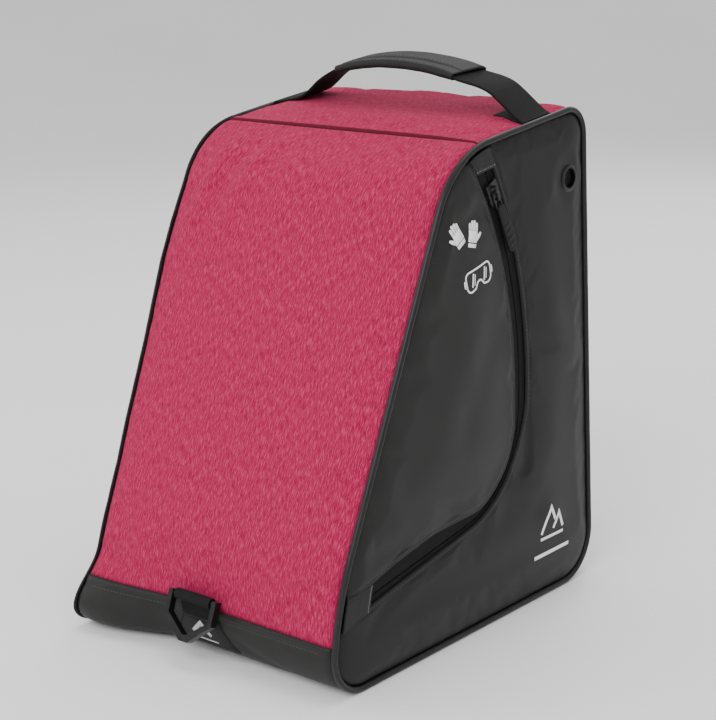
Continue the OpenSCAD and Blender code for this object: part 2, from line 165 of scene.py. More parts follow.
def rim_where(test, first=True):
    """The distance along the outline where a test on (y, z) first or last holds."""
    fine = np.linspace(0, RIM_S[-1], 4000)
    hit = np.nonzero(test(*along(RIM, fine).T))[0]
    return fine[hit[0] if first else hit[-1]]


def lattice(n, seed):
    return np.random.default_rng(seed).uniform(-1, 1, (n, n))


def noise(u, v, size, seed, octaves=3):
    """Smooth repeatable noise from -1 to 1, with features about size across."""
    total, weight = 0.0, 0.0
    for o in range(octaves):
        grid = lattice(64, seed + o)
        x, y = np.asarray(u) / size * 2 ** o + 17.3, np.asarray(v) / size * 2 ** o + 9.1
        i, j = np.floor(x).astype(int), np.floor(y).astype(int)
        fx, fy = smooth(x - i), smooth(y - j)
        a, b = grid[i % 64, j % 64], grid[(i + 1) % 64, j % 64]
        c, d = grid[i % 64, (j + 1) % 64], grid[(i + 1) % 64, (j + 1) % 64]
        total = total + ((a * (1 - fx) + b * fx) * (1 - fy) + (c * (1 - fx) + d * fx) * fy) / 2 ** o
        weight += 1 / 2 ** o
    return total / weight


def ridge(u, v, p, q, width, height):
    """A soft fold that runs from p to q and fades towards its ends."""
    p, q = np.asarray(p, float), np.asarray(q, float)
    d = q - p
    t = ((u - p[0]) * d[0] + (v - p[1]) * d[1]) / (d @ d)
    off = ((u - p[0]) * -d[1] + (v - p[1]) * d[0]) / np.linalg.norm(d)
    fade = smooth((t + 0.1) / 0.35) * smooth((1.1 - t) / 0.35)
    return height * np.exp(-(off / width) ** 2) * fade


def ridges(u, v, *folds):
    return sum(ridge(u, v, *fold) for fold in folds)


# ------------------------------------------------ meshes and pieces


def make(name, verts, faces, uv=None, inner_faces=()):
    """A mesh object from points in millimetres. uv is each point's place in the cloth, in metres."""
    mesh = bpy.data.meshes.new(name)
    points = [tuple(v) for v in np.asarray(verts, float) * MM]
    mesh.from_pydata(points, [], [tuple(map(int, f)) for f in faces])
    mesh.validate()
    if uv is not None:
        cloth = mesh.attributes.new("cloth", "FLOAT_VECTOR", "POINT")
        full = np.zeros((len(verts), 3), np.float32)
        full[:, :np.asarray(uv).shape[1]] = np.asarray(uv) * MM
        cloth.data.foreach_set("vector", full.ravel())
    mesh.polygons.foreach_set("use_smooth", [True] * len(mesh.polygons))
    obj = bpy.data.objects.new(name, mesh)
    bpy.context.scene.collection.objects.link(obj)
    bm = bmesh.new()
    bm.from_mesh(mesh)
    bmesh.ops.recalc_face_normals(bm, faces=bm.faces)
    bm.to_mesh(mesh)
    bm.free()
    for i in inner_faces:
        mesh.polygons[i].material_index = 1
    return obj


def finish_piece(obj, body, materials, replaces=()):
    """Gives a piece its materials and body, and hides the CAD nodes it stands for."""
    for m in materials if isinstance(materials, (list, tuple)) else [materials]:
        obj.data.materials.append(m)
    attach(obj, body)
    if replaces:
        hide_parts(*replaces)
    return obj


def grid_faces(nu, nv, wrap_u=False, wrap_v=False, offset=0):
    rows, columns = (np.arange(n if wrap else n - 1) for n, wrap in ((nu, wrap_u), (nv, wrap_v)))
    i, j = np.meshgrid(rows, columns, indexing="ij")
    i2, j2 = (i + 1) % nu, (j + 1) % nv
    return offset + np.stack([i * nv + j, i2 * nv + j, i2 * nv + j2, i * nv + j2], -1).reshape(-1, 4)


def tube_faces(n, m):
    """The faces of n rings of m points each, with a cap at both ends."""
    return list(grid_faces(n, m, wrap_v=True)) + [list(range(m))[::-1], list(range((n - 1) * m, n * m))]


def slab(name, outer, inner, uv, rim_index=0):
    """A closed sheet between two grids of the same size: its outer face, its inner face and its rim."""
    nu, nv = outer.shape[:2]
    n = nu * nv
    top = grid_faces(nu, nv)
    bottom = grid_faces(nu, nv, offset=n)[:, ::-1]
    index = np.arange(n).reshape(nu, nv)
    edge = np.r_[index[0], index[1:, -1], index[-1, -2::-1], index[-2:0:-1, 0]]
    nxt = np.roll(edge, -1)
    rim = np.stack([nxt, edge, edge + n, nxt + n], -1)
    faces = np.vstack([top, bottom, rim])
    inner_faces = range(len(top), len(top) + len(bottom))
    obj = make(name, np.vstack([outer.reshape(n, 3), inner.reshape(n, 3)]), faces,
               uv=np.vstack([uv.reshape(n, 2)] * 2), inner_faces=inner_faces)
    for polygon in obj.data.polygons[2 * len(top):]:
        polygon.material_index = rim_index
    return obj


def sweep(name, path, frames, section):
    """Sweeps a closed section (points in each frame's two axes) along a path."""
    n, m = len(path), len(section)
    verts = np.array([p + s[0] * a + s[1] * b for p, (a, b) in zip(path, frames) for s in section])
    at = lengths(path)
    round_section = lengths(closed(np.asarray(section, float)))[:-1]
    uv = np.array([[at[i], round_section[j]] for i in range(n) for j in range(m)])
    return make(name, verts, tube_faces(n, m), uv=uv)


def box_section(w, t, r, n=3):
    """A rounded rectangle, w by t, as a section."""
    r = min(r, w / 2 - 1e-3, t / 2 - 1e-3)
    points = []
    for cx, cy, a in ((w / 2 - r, t / 2 - r, 0), (-w / 2 + r, t / 2 - r, 90),
                      (-w / 2 + r, -t / 2 + r, 180), (w / 2 - r, -t / 2 + r, 270)):
        for k in range(n + 1):
            q = math.radians(a + 90 * k / n)
            points.append((cx + r * math.cos(q), cy + r * math.sin(q)))
    return points


def joined(name, parts):
    """Several (verts, faces) lists as one mesh."""
    verts, faces, n = [], [], 0
    for v, f in parts:
        verts.append(np.asarray(v, float))
        faces += [[int(i) + n for i in face] for face in f]
        n += len(v)
    return make(name, np.vstack(verts), faces)


def stitch_parts(points, normals, directions, length=2.6, width=0.55, height=0.45):
    """Thread stitches: a small six-sided spindle at each point, lying along its direction."""
    parts = []
    ring = np.radians(np.arange(0, 360, 60))
    for p, n, d in zip(points, normals, directions):
        n, d = unit(np.asarray(n, float)), unit(np.asarray(d, float))
        side = np.cross(n, d)
        rows = []
        for t, r in ((-0.5, 0.15), (-0.3, 0.85), (0.0, 1.0), (0.3, 0.85), (0.5, 0.15)):
            for q in ring:
                rows.append(np.asarray(p) + d * t * length
                            + r * (side * width * math.cos(q) + n * height * math.sin(q)))
        parts.append((rows, tube_faces(5, 6)))
    return parts


def relax_cloth(obj, pinned, pressure, growth, cap_mm, frames=20):
    """Lets a panel's outer sheet settle as cloth between its seams. growth is the spare fabric's share."""
    group = obj.vertex_groups.new(name="seams")
    group.add([int(i) for i in pinned], 1.0, "REPLACE")
    cloth = obj.modifiers.new("cloth", "CLOTH")
    s = cloth.settings
    s.quality = 5
    s.mass = 0.15
    s.tension_stiffness = 20
    s.compression_stiffness = 12
    s.shear_stiffness = 8
    s.bending_stiffness = 2.5
    s.air_damping = 2
    s.use_pressure = True
    s.uniform_pressure_force = pressure
    s.shrink_min = -growth
    s.vertex_group_mass = group.name
    s.effector_weights.gravity = 0
    cloth.collision_settings.use_collision = False
    cloth.point_cache.frame_start = 1
    cloth.point_cache.frame_end = frames
    scene = bpy.context.scene
    for f in range(1, frames + 1):
        scene.frame_set(f)
    settled = obj.evaluated_get(bpy.context.evaluated_depsgraph_get()).to_mesh()
    new = np.array([v.co for v in settled.vertices])
    old = np.array([v.co for v in obj.data.vertices])
    move = new - old
    far = np.linalg.norm(move, axis=1, keepdims=True)
    move *= np.minimum(1, cap_mm * MM / np.maximum(far, 1e-9))
    obj.modifiers.remove(cloth)
    obj.vertex_groups.remove(group)
    scene.frame_set(1)
    return (old + move) / MM


def settle_grid(points, pressure, growth, cap_mm):
    """A grid of points after relax_cloth, with its four edges held."""
    nu, nv = points.shape[:2]
    sheet = make("settling", points.reshape(-1, 3), grid_faces(nu, nv))
    index = np.arange(nu * nv).reshape(nu, nv)
    edges = (index[:2], index[-2:], index[:, :2], index[:, -2:])
    pinned = np.unique(np.concatenate([edge.ravel() for edge in edges]))
    new = relax_cloth(sheet, pinned, pressure, growth, cap_mm)
    bpy.data.objects.remove(sheet)
    return points if new is None else new.reshape(nu, nv, 3)


# ------------------------------------------------ materials


class Nodes:
    """A material's node tree, with short calls to add and join nodes."""

    def __init__(self, name):
        self.material = bpy.data.materials.new(name)
        self.material.use_nodes = True
        self.tree = self.material.node_tree
        self.shader = self.tree.nodes["Principled BSDF"]

    def add(self, kind, **values):
        node = self.tree.nodes.new(kind)
        for key, value in values.items():
            if hasattr(node, key):
                setattr(node, key, value)
            else:
                node.inputs[key.replace("_", " ")].default_value = value
        return node

    def join(self, a, b):
        self.tree.links.new(a, b)

    def shine(self, **values):
        for key, value in values.items():
            self.shader.inputs[key.replace("_", " ")].default_value = value

    def cloth(self, scale=(1, 1, 1), turn=0.0):
        """The place in the cloth, in metres times scale."""
        source = self.add("ShaderNodeAttribute", attribute_name="cloth")
        mapping = self.add("ShaderNodeMapping")
        mapping.inputs["Scale"].default_value = scale
        mapping.inputs["Rotation"].default_value = (0, 0, turn)
        self.join(source.outputs["Vector"], mapping.inputs["Vector"])
        return mapping.outputs["Vector"]

    def solid(self, scale=(1, 1, 1)):
        """The place in the object, in metres times scale."""
        source = self.add("ShaderNodeTexCoord")
        mapping = self.add("ShaderNodeMapping")
        mapping.inputs["Scale"].default_value = scale
        self.join(source.outputs["Object"], mapping.inputs["Vector"])
        return mapping.outputs["Vector"]

    def noise(self, vector, scale, detail=2.0, roughness=0.5):
        node = self.add("ShaderNodeTexNoise")
        node.inputs["Scale"].default_value = scale
        node.inputs["Detail"].default_value = detail
        node.inputs["Roughness"].default_value = roughness
        self.join(vector, node.inputs["Vector"])
        return node.outputs["Fac"]

    def wave(self, vector, scale, direction, distortion=0.0):
        node = self.add("ShaderNodeTexWave", bands_direction=direction)
        node.inputs["Scale"].default_value = scale
        node.inputs["Distortion"].default_value = distortion
        self.join(vector, node.inputs["Vector"])
        return node.outputs["Fac"]

    def ramp(self, value, stops):
        node = self.add("ShaderNodeValToRGB")
        while len(node.color_ramp.elements) < len(stops):
            node.color_ramp.elements.new(0.5)
        for element, (at, colour) in zip(node.color_ramp.elements, stops):
            element.position = at
            element.color = (*colour, 1)
        self.join(value, node.inputs["Fac"])
        return node.outputs["Color"]

    def mix(self, fac, a, b, how="MIX"):
        node = self.add("ShaderNodeMix", data_type="RGBA", blend_type=how)
        for socket, value in ((node.inputs[0], fac), (node.inputs[6], a), (node.inputs[7], b)):
            if isinstance(value, bpy.types.NodeSocket):
                self.join(value, socket)
            else:
                socket.default_value = value
        return node.outputs[2]

    def sums(self, *terms):
        """Adds up (value, weight) pairs."""
        total = None
        for value, weight in terms:
            times = self.add("ShaderNodeMath", operation="MULTIPLY")
            self.join(value, times.inputs[0])
            times.inputs[1].default_value = weight
            if total is None:
                total = times.outputs[0]
            else:
                plus = self.add("ShaderNodeMath", operation="ADD")
                self.join(total, plus.inputs[0])
                self.join(times.outputs[0], plus.inputs[1])
                total = plus.outputs[0]
        return total

    def spread(self, value, low, high):
        node = self.add("ShaderNodeMapRange")
        node.inputs["To Min"].default_value = low
        node.inputs["To Max"].default_value = high
        self.join(value, node.inputs["Value"])
        return node.outputs[0]

    def bump(self, height, strength, distance):
        node = self.add("ShaderNodeBump")
        node.inputs["Strength"].default_value = strength
        node.inputs["Distance"].default_value = distance
        self.join(height, node.inputs["Height"])
        self.join(node.outputs["Normal"], self.shader.inputs["Normal"])


def heather(name):
    """Rose heather cloth: dark and pale threads in short streaks along the cloth, over a fine plain weave."""
    m = Nodes(name)
    streaks = m.noise(m.cloth((1300, 150, 1), 0.07), 1.0, 1.0, 0.5)
    threads = m.noise(m.cloth((2600, 420, 1), 0.07), 1.0, 1.0, 0.5)
    cloud = m.noise(m.cloth((26, 14, 1)), 1.0, 2.0, 0.5)
    colour = m.ramp(m.sums((streaks, 0.6), (threads, 0.4)), [
        (0.34, (0.200, 0.0045, 0.032)), (0.46, (0.300, 0.0090, 0.053)),
        (0.54, (0.368, 0.0180, 0.075)), (0.67, (0.52, 0.055, 0.145))])
    colour = m.mix(m.spread(cloud, 0.0, 0.2), colour, (0.325, 0.0110, 0.060, 1))
    m.join(colour, m.shader.inputs["Base Color"])
    m.join(m.spread(streaks, 0.78, 0.92), m.shader.inputs["Roughness"])
    m.shine(Sheen_Weight=0.02, Sheen_Roughness=0.5, Specular_IOR_Level=0.10)
    weave = m.sums((m.wave(m.cloth(), 420, "X"), 0.3), (m.wave(m.cloth(), 420, "Y"), 0.3), (streaks, 0.8))
    m.bump(weave, 0.35, 0.0004)
    return m.material


def coated(name, colour, shine=0.46, pale=1.25, grain=1.0):
    """Coated cloth: a smooth dark face with a soft sheen, a fine pebble grain and faint rub marks."""
    m = Nodes(name)
    patches = m.noise(m.solid(), 16, 3.0, 0.55)
    pebble = m.noise(m.solid(), 2600, 2.0, 0.5)
    weave = m.wave(m.solid(), 700, "DIAGONAL", 0.4)
    rubbed = tuple(min(1, c * pale) for c in colour)
    shade = m.ramp(patches, [(0.35, colour), (0.65, rubbed)])
    m.join(shade, m.shader.inputs["Base Color"])
    rub = m.sums((patches, 0.7), (pebble, 0.3))
    m.join(m.spread(rub, shine - 0.05, shine + 0.09), m.shader.inputs["Roughness"])
    m.shine(Specular_IOR_Level=0.24)
    m.bump(m.sums((pebble, 0.7), (weave, 0.3)), 0.12 * grain, 0.0003)
    return m.material


def ribbed(name, colour, scale, direction="Y", rough=0.72, depth=0.0006, shine=0.35):
    """Woven tape or webbing: ribs across it, fine threads along it and slightly worn high spots; the low
    parts of the weave are darkened as painted shade.
    """
    m = Nodes(name)
    ribs = m.wave(m.cloth(), scale, direction)
    other = "X" if direction == "Y" else "Y"
    threads = m.wave(m.cloth(), scale * 2.6, other, 0.6)
    fuzz = m.noise(m.cloth(), 900, 3.0, 0.6)
    worn = tuple(min(1, c * 1.9) for c in colour)
    # painted shade: the low parts between the ribs get this darker colour
    dark = tuple(c * 0.55 for c in colour)
    height = m.sums((ribs, 0.5), (threads, 0.2), (fuzz, 0.3))
    m.join(m.ramp(height, [(0.2, dark), (0.55, colour), (0.85, worn)]), m.shader.inputs["Base Color"])
    m.join(m.spread(fuzz, rough - 0.08, rough + 0.1), m.shader.inputs["Roughness"])
    m.shine(Specular_IOR_Level=shine)
    m.bump(m.sums((ribs, 0.6), (threads, 0.4)), 0.6, depth)
    return m.material


def moulded(name, colour, rough, grain=350, wear=1.6, metallic=0.0, coat=0.0, shine=0.5):
    """Moulded or cast trim: fine grain, with paler rubbed patches."""
    m = Nodes(name)
    spots = m.noise(m.solid(), 140, 3.0, 0.6)
    fine = m.noise(m.solid(), grain * 8, 2.0, 0.5)
    rubbed = tuple(min(1, c * wear) for c in colour)
    m.join(m.ramp(spots, [(0.40, colour), (0.75, rubbed)]), m.shader.inputs["Base Color"])
    wear_and_grain = m.sums((spots, 0.6), (fine, 0.4))
    m.join(m.spread(wear_and_grain, rough - 0.08, rough + 0.1), m.shader.inputs["Roughness"])
    m.shine(Metallic=metallic, Coat_Weight=coat, Specular_IOR_Level=shine)
    m.bump(fine, 0.15, 0.0002)
    return m.material


def net(name):
    """Fine black mesh cloth: small holes in a grid."""
    m = Nodes(name)
    holes = m.sums((m.wave(m.solid(), 330, "Y"), 0.5), (m.wave(m.solid(), 330, "Z"), 0.5))
    m.join(m.ramp(holes, [(0.3, (0.004, 0.004, 0.004)), (0.7, (0.06, 0.06, 0.062))]),
           m.shader.inputs["Base Color"])
    m.shine(Roughness=0.7)
    m.bump(holes, 0.8, 0.0008)
    return m.material


def print_ink(name, tone=1.0):
    """White transfer print with a slightly uneven film."""
    m = Nodes(name)
    film = m.noise(m.solid(), 500, 3.0, 0.6)
    low, high = (0.88 * tone,) * 3, (0.97 * tone,) * 3
    m.join(m.ramp(film, [(0.3, low), (0.7, high)]), m.shader.inputs["Base Color"])
    m.join(m.spread(film, 0.42, 0.6), m.shader.inputs["Roughness"])
    m.bump(film, 0.1, 0.0002)
    return m.material


HEATHER = heather("rose_heather")
TARP = coated("tarpaulin", (0.0062, 0.0064, 0.0059))
# Painted shade: a dark maroon on the folded rims of the front and top panels, standing in for the shadow
# along their cross seam.
SEAM_SHADE = coated("painted_seam_shade", (0.085, 0.0028, 0.015), shine=0.8)
# Painted light: the same tarpaulin as the side panels, made paler for the brighter light on the pocket
# panels.
TARP_POCKET_PAINTED_LIGHT = coated("tarpaulin_pocket_painted_light", (0.0104, 0.0106, 0.0100))
TARP_BAND = coated("tarpaulin_band", (0.0105, 0.0107, 0.0102), shine=0.5)
LINING = ribbed("grey_lining", (0.11, 0.115, 0.12), 700, "X", 0.8, 0.0002)
PIPE = coated("piping_satin", (0.0115, 0.0120, 0.0118), shine=0.36)
WEBBING = ribbed("webbing", (0.0056, 0.0058, 0.0056), 260, "Y", 0.78, shine=0.2)
TAPE = ribbed("zip_tape", (0.0056, 0.0056, 0.0058), 420, "X", 0.76, 0.0003, 0.2)
COIL = moulded("zip_coil", (0.0062, 0.0062, 0.0065), 0.40, shine=0.3)
METAL = moulded("dark_zinc", (0.026, 0.026, 0.028), 0.26, metallic=0.7)
RIM_BLACK = moulded("black_rim", (0.0036, 0.0036, 0.0038), 0.36, metallic=0.1, coat=0.1, shine=0.25)
RING = moulded("ring_plastic", (0.0042, 0.0042, 0.0044), 0.32, wear=1.6, shine=0.35)
TABS = moulded("pull_plastic", (0.0040, 0.0040, 0.0042), 0.54, shine=0.22)
RUBBER = moulded("rubber", (0.0050, 0.0050, 0.0050), 0.6, shine=0.3)
GRIP_CLOTH = coated("grip_cloth", (0.0080, 0.0082, 0.0078), shine=0.56, grain=1.6)
BOARD = coated("stiffener_board", (0.22, 0.23, 0.22), shine=0.6)
NET = net("vent_net")
THREAD = moulded("thread", (0.022, 0.023, 0.022), 0.62, wear=2.0)
PALE_THREAD = moulded("pale_thread", (0.13, 0.13, 0.125), 0.6, wear=1.6)
INK = print_ink("white_print")
MARK = print_ink("grey_print", 0.5)

# ------------------------------------------------ the padded skin: front, top, band, base, back


def skin_grid(s0, s1, offset, step=3.0, half=WALL_X - 0.1):
    """Outer grid of the skin between two distances along the outline, pushed outwards by offset(s, x)."""
    ns, nx = max(6, int((s1 - s0) / step) + 1), 84
    s = np.linspace(s0, s1, ns)
    x = half * np.sin(np.linspace(-math.pi / 2, math.pi / 2, nx) * 0.5) / math.sin(math.pi / 4)
    p, n = rim_at(s)
    ss, xx = np.meshgrid(s, x, indexing="ij")
    off = offset(ss, xx)
    points = np.empty((ns, nx, 3))
    points[..., 0] = xx
    points[..., 1:] = p[:, None] + n[:, None] * off[..., None]
    points[..., 2] = np.maximum(0.05, points[..., 2])
    inner = points.copy()
    inner[..., 1:] = p[:, None] - n[:, None] * SKIN
    return points, inner, np.stack([xx, ss], -1)


S_BAND = rim_where(lambda y, z: (z >= BAND_H) & (y < 0))
S_CROSS = rim_where(lambda y, z: (y >= CROSS_SEAM_Y) & (z > 300))
S_BACK = rim_where(lambda y, z: (z >= BACK_SEAM_H) & (y > 100), first=False)
S_BACK_LOW = rim_where(lambda y, z: (z >= BAND_H) & (y > 100), first=False)
S_HEEL = rim_where(lambda y, z: (z < FOOT_Z + 0.25) & (y > 100))


def seam_ease(d, width=14.0):
    """0 at a seam, rising to 1 width away from it."""
    return smooth(np.clip(d, 0, width) / width)


def side_roll(x, mid, edge=-1.5, first=1.0):
    """Height of the skin across the bag: it rolls in to the piping and is fullest in the middle."""
    near = np.clip((WALL_X - np.abs(x)) / 6.0, 0, 1)
    full = first + (mid - first) * (1 - (np.abs(x) / WALL_X) ** 2.4)
    return edge + (full - edge) * (1 - (1 - near) ** 2)


def puckers(x, s, size=9.0, reach=24.0, height=0.45, seed=5):
    """Small ripples that seams pull into the cloth beside the piping."""
    near = np.clip(1 - (WALL_X - np.abs(x)) / reach, 0, 1) ** 1.5
    return height * near * noise(s, np.sign(x) * 300 + x * 0.25, size, seed, 2)


def front_offset(s, x):
    low, high = s - S_BAND, S_CROSS - s
    mid = 0.8 + 2.7 * seam_ease(low, 30) * seam_ease(high, 30)
    folds = ridges(x, low, ((-118, 30), (-40, 8), 9, 0.9), ((112, 62), (52, 14), 10, 1.0),
                   ((-60, 190), (40, 150), 16, -0.8), ((96, 250), (50, 316), 13, 0.8),
                   ((-104, 262), (-84, 352), 8, 3.0), ((-86, 290), (-58, 356), 7, -2.2),
                   ((-72, 250), (-46, 350), 9, 2.0), ((118, 140), (84, 104), 9, 0.7))
    waves = 0.55 * noise(x, s, 62, 11) + 0.22 * noise(x, s, 21, 31)
    hold = seam_ease(low, 9) * seam_ease(high, 9)
    tucked = -1.3 * np.exp(-(high / 1.8) ** 2)
    return side_roll(x, mid) + tucked + hold * (folds + waves + puckers(x, s))


def top_offset(s, x):
    low, high = s - S_CROSS, S_BACK - s
    mid = 1.6 + 1.9 * seam_ease(low, 34) * seam_ease(high, 30)
    lap = 0.9 * (1 - seam_ease(low - 0.4, 10)) * np.clip((118 - x) / 30, 0, 1)
    folds = ridges(x, low, ((-70, 18), (60, 26), 12, 0.7), ((40, 100), (105, 40), 11, 0.6))
    waves = 0.5 * noise(x, s, 50, 12) + 0.2 * noise(x, s, 18, 33)
    hold = seam_ease(low, 8) * seam_ease(high, 8)
    return side_roll(x, mid) + lap + hold * (folds + waves + puckers(x, s, seed=7))


def band_offset(d_top, s, x, mid, seed):
    hem = 0.5 * np.exp(-((d_top - 6.0) / 0.9) ** 2)
    edge = 1.4 * (1 - seam_ease(d_top - 1, 6))
    waves = 0.3 * noise(x, s, 42, seed) + 0.12 * noise(x, s, 15, seed + 2)
    return side_roll(x, mid, first=0.7) + edge - hem + seam_ease(d_top, 14) * waves


def front_band_offset(s, x):
    crease = ridge(x, S_BAND - s, (26, 14), (104, 52), 4.0, -0.9)
    return band_offset(S_BAND - s, s, x, 1.7, 41) + crease * seam_ease(s - 6)


def back_band_offset(s, x):
    return band_offset(s - S_BACK_LOW, s, x, 1.3, 45)


def skin_piece(name, s0, s1, offset, material, node, settle=0.0, rim=None):
    """One padded panel of the skin. rim is the material of its folded edges, where they show; on the front
    and top it is a dark painted shade for the seam's shadow.
    """
    outer, inner, uv = skin_grid(s0, s1, offset)
    if settle:
        outer = settle_grid(outer, 2.0, settle, 2.2)
    obj = slab(name, outer, inner, uv, rim_index=2 if rim else 0)
    materials = (material, LINING, rim) if rim else (material, LINING)
    return finish_piece(obj, "root", materials, (node,))


# The folded rims of these two panels carry the painted seam shade.
skin_piece("front_padded_panel", S_BAND, S_CROSS, front_offset, HEATHER, "front_panel",
           settle=0.006, rim=SEAM_SHADE)
skin_piece("top_padded_panel", S_CROSS + 0.1, S_BACK, top_offset, HEATHER, "top_panel",
           settle=0.006, rim=SEAM_SHADE)
front_band = skin_piece(
    "front_foot_band", 1.0, S_BAND - 0.1, front_band_offset, TARP_BAND, "front_band")
back_band = skin_piece(
    "back_foot_band", S_BACK_LOW + 0.1, S_HEEL, back_band_offset, TARP_BAND, "back_band")


def base_panel_piece():
    """The base cloth: flat on the ground, turned up a little to meet both bands."""
    y = np.linspace(-BASE_D / 2 + 34, BASE_D / 2 - 36, 70)
    x = np.linspace(-WALL_X + 0.3, WALL_X - 0.3, 60)
    yy, xx = np.meshgrid(y, x, indexing="ij")
    turn_up = 1.5 * np.clip((np.abs(yy) - 116) / 14, 0, 1) ** 2
    sag = 0.9 * (1 - smooth((WALL_X - np.abs(xx)) / 12)) + 0.12 * noise(xx, yy, 30, 51)
    outer = np.stack([xx, yy, np.maximum(0.05, turn_up + sag)], -1)
    inner = np.stack([xx, yy, np.full_like(xx, SKIN)], -1)
    obj = slab("base_cloth", outer, inner, np.stack([xx, yy], -1))
    return finish_piece(obj, "root", (TARP_BAND, LINING), ("base_panel",))


base_panel_piece()

# ------------------------------------------------ the back: frame, door, lining and zip


BACK_A = math.atan2(BACK_LEAN, BACK_H - FOOT_Z)
ARCH_Y = DOOR_TOP - ARCH_R
CORNER_X = DOOR_HW - DOOR_R
CORNER_A = math.degrees(math.asin(CORNER_X / (ARCH_R - DOOR_R)))
CORNER_Y = ARCH_Y + (ARCH_R - DOOR_R) * math.cos(math.radians(CORNER_A))


def on_back(x, y, depth):
    """A place on the back: x across, y up the back, depth inwards from its face."""
    x, y, depth = np.broadcast_arrays(x, y, depth)
    return np.stack([x, BASE_D / 2 - y * math.sin(BACK_A) - depth * math.cos(BACK_A),
                     FOOT_Z + y * math.cos(BACK_A) - depth * math.sin(BACK_A)], -1)


def door_line(d, foot, step=2.0):
    """The door zip's line, moved inwards by d: up the left side, over the arch and down the right side."""
    left = np.array([[-(DOOR_HW - d), foot]])
    up = arc((-CORNER_X, CORNER_Y), DOOR_R - d, 180, 90 + CORNER_A, step)
    over = arc((0, ARCH_Y), ARCH_R - d, 90 + CORNER_A, 90 - CORNER_A, step)
    down = arc((CORNER_X, CORNER_Y), DOOR_R - d, 90 - CORNER_A, 0, step)
    return np.vstack([left, up, over[1:-1], down, -left * [1, -1]])


def back_frame_grid(n=230, nv=22):
    """Ruled lines from the door's lip out to the panel's rectangle."""
    inner = resample(door_line(-(DOOR_LIP - 4.5), DOOR_FOOT - 5), n)
    top = (BACK_SEAM_H - FOOT_Z) / math.cos(BACK_A)
    foot = (BAND_H - FOOT_Z) / math.cos(BACK_A)
    half = WALL_X - 0.1
    outer = np.empty_like(inner)
    corner = math.atan2(top - ARCH_Y, half)
    for i, (x, y) in enumerate(inner):
        a = math.atan2(max(y - ARCH_Y, 0), x)
        if y <= ARCH_Y:
            outer[i] = (math.copysign(half, x), y)
        elif abs(a - math.pi / 2) > math.pi / 2 - corner:
            outer[i] = (math.copysign(half, x), ARCH_Y + half * abs(math.tan(a)))
        else:
            outer[i] = ((top - ARCH_Y) / math.tan(a) if abs(a - math.pi / 2) > 1e-6 else 0.0, top)
    outer[0, 1], outer[-1, 1] = foot, foot
    inner[0, 1], inner[-1, 1] = foot, foot
    t = (1 - np.cos(np.linspace(0, math.pi, nv))) / 2
    return inner[:, None] * (1 - t[None, :, None]) + outer[:, None] * t[None, :, None]


def back_frame_piece():
    flat = back_frame_grid()
    x, y = flat[..., 0], flat[..., 1]
    across = np.linalg.norm(np.diff(flat, axis=1), axis=2)
    from_lip = np.c_[np.zeros(len(flat)), np.cumsum(across, axis=1)]
    lip = -2.3 * (1 - np.clip(from_lip / 2.2, 0, 1)) ** 2
    stitched = -0.45 * np.exp(-((from_lip - 4.2) / 0.8) ** 2)
    rise = side_roll(x, 0.6, first=0.4) + lip + stitched
    rise = rise + 0.25 * noise(x, y, 38, 61) * seam_ease(from_lip, 10)
    outer = on_back(x, y, -rise)
    depth = np.where(from_lip < 9, DOOR_SKIN - 0.15, SKIN)
    inner = on_back(x, y, depth)
    obj = slab("back_frame_cloth", outer, inner, flat)
    return finish_piece(obj, "root", (TARP, LINING), ("back_frame",))


back_frame = back_frame_piece()


def door_columns(d, foot, n):
    """For n places across the door, its foot and the height of its edge there."""
    line = door_line(d, foot, 1.0)
    half = DOOR_HW - d
    x = half * np.sin(np.linspace(-math.pi / 2, math.pi / 2, n))
    order = np.argsort(line[:, 0], kind="stable")
    top = np.interp(x, line[order, 0], line[order, 1])
    top[0] = top[-1] = CORNER_Y
    return x, top


def door_distance(x, y, d=0.0):
    """Distance in the back's plane from a point to the door's zip line moved inwards by d."""
    return distance_to(np.stack([x, y], -1), door_line(d, DOOR_FOOT - 20))


def distance_to(points, line):
    """Distance from each point of a grid to a polyline."""
    shape = points.shape[:-1]
    p = points.reshape(-1, 1, 2)
    best = np.full(len(p), 1e9)
    for k in range(0, len(line) - 1, 60):
        a, b = line[k:k + 61][:-1], line[k:k + 61][1:]
        d = b - a
        t = np.clip(((p - a) * d).sum(-1) / np.maximum((d * d).sum(-1), 1e-9), 0, 1)
        best = np.minimum(best, np.linalg.norm(p - a - t[..., None] * d, axis=-1).min(1))
    return best.reshape(shape)


DOOR_EDGE = DOOR_LIP - 4.5


def door_rise(x, y):
    """How far the door's cloth stands out of its own plane."""
    edge = door_distance(x, y, DOOR_EDGE)
    foot = y - DOOR_FOOT
    dome = 1.7 * seam_ease(edge, 40) * seam_ease(foot, 40)
    pulls = 0.5 * np.exp(-(((np.abs(x) - 10) / 22) ** 2 + ((y - 290) / 30) ** 2))
    folds = ridges(x, y, ((-70, 240), (20, 190), 14, 0.5), ((75, 120), (-10, 90), 15, 0.5),
                   ((-40, 80), (30, 66), 8, 0.4))
    waves = 0.4 * noise(x, y, 55, 71) + 0.15 * noise(x, y, 19, 74)
    lip = -1.9 * (1 - np.clip(edge / 2.2, 0, 1)) ** 2
    stitched = -0.4 * np.exp(-((edge - 4.2) / 0.8) ** 2)
    free = seam_ease(edge, 12) * seam_ease(foot, 12)
    return 0.1 + dome - pulls + free * (folds + waves) + lip + stitched


def door_piece():
    n, nv = 96, 120
    x, top = door_columns(DOOR_EDGE, DOOR_FOOT + 1, n)
    v = (1 - np.cos(np.linspace(0, math.pi, nv))) / 2 * 0.5 + np.linspace(0, 1, nv) * 0.5
    xx = np.repeat(x[:, None], nv, 1)
    yy = DOOR_FOOT + 1 + (top[:, None] - DOOR_FOOT - 1) * v[None]
    outer = on_back(xx, yy, -door_rise(xx, yy))
    inner = on_back(xx, yy, DOOR_SKIN - 0.15)
    obj = slab("door_cloth", outer, inner, np.stack([xx, yy], -1))
    return finish_piece(obj, "door", (TARP, TARP), ("door_panel",))


door_panel = door_piece()


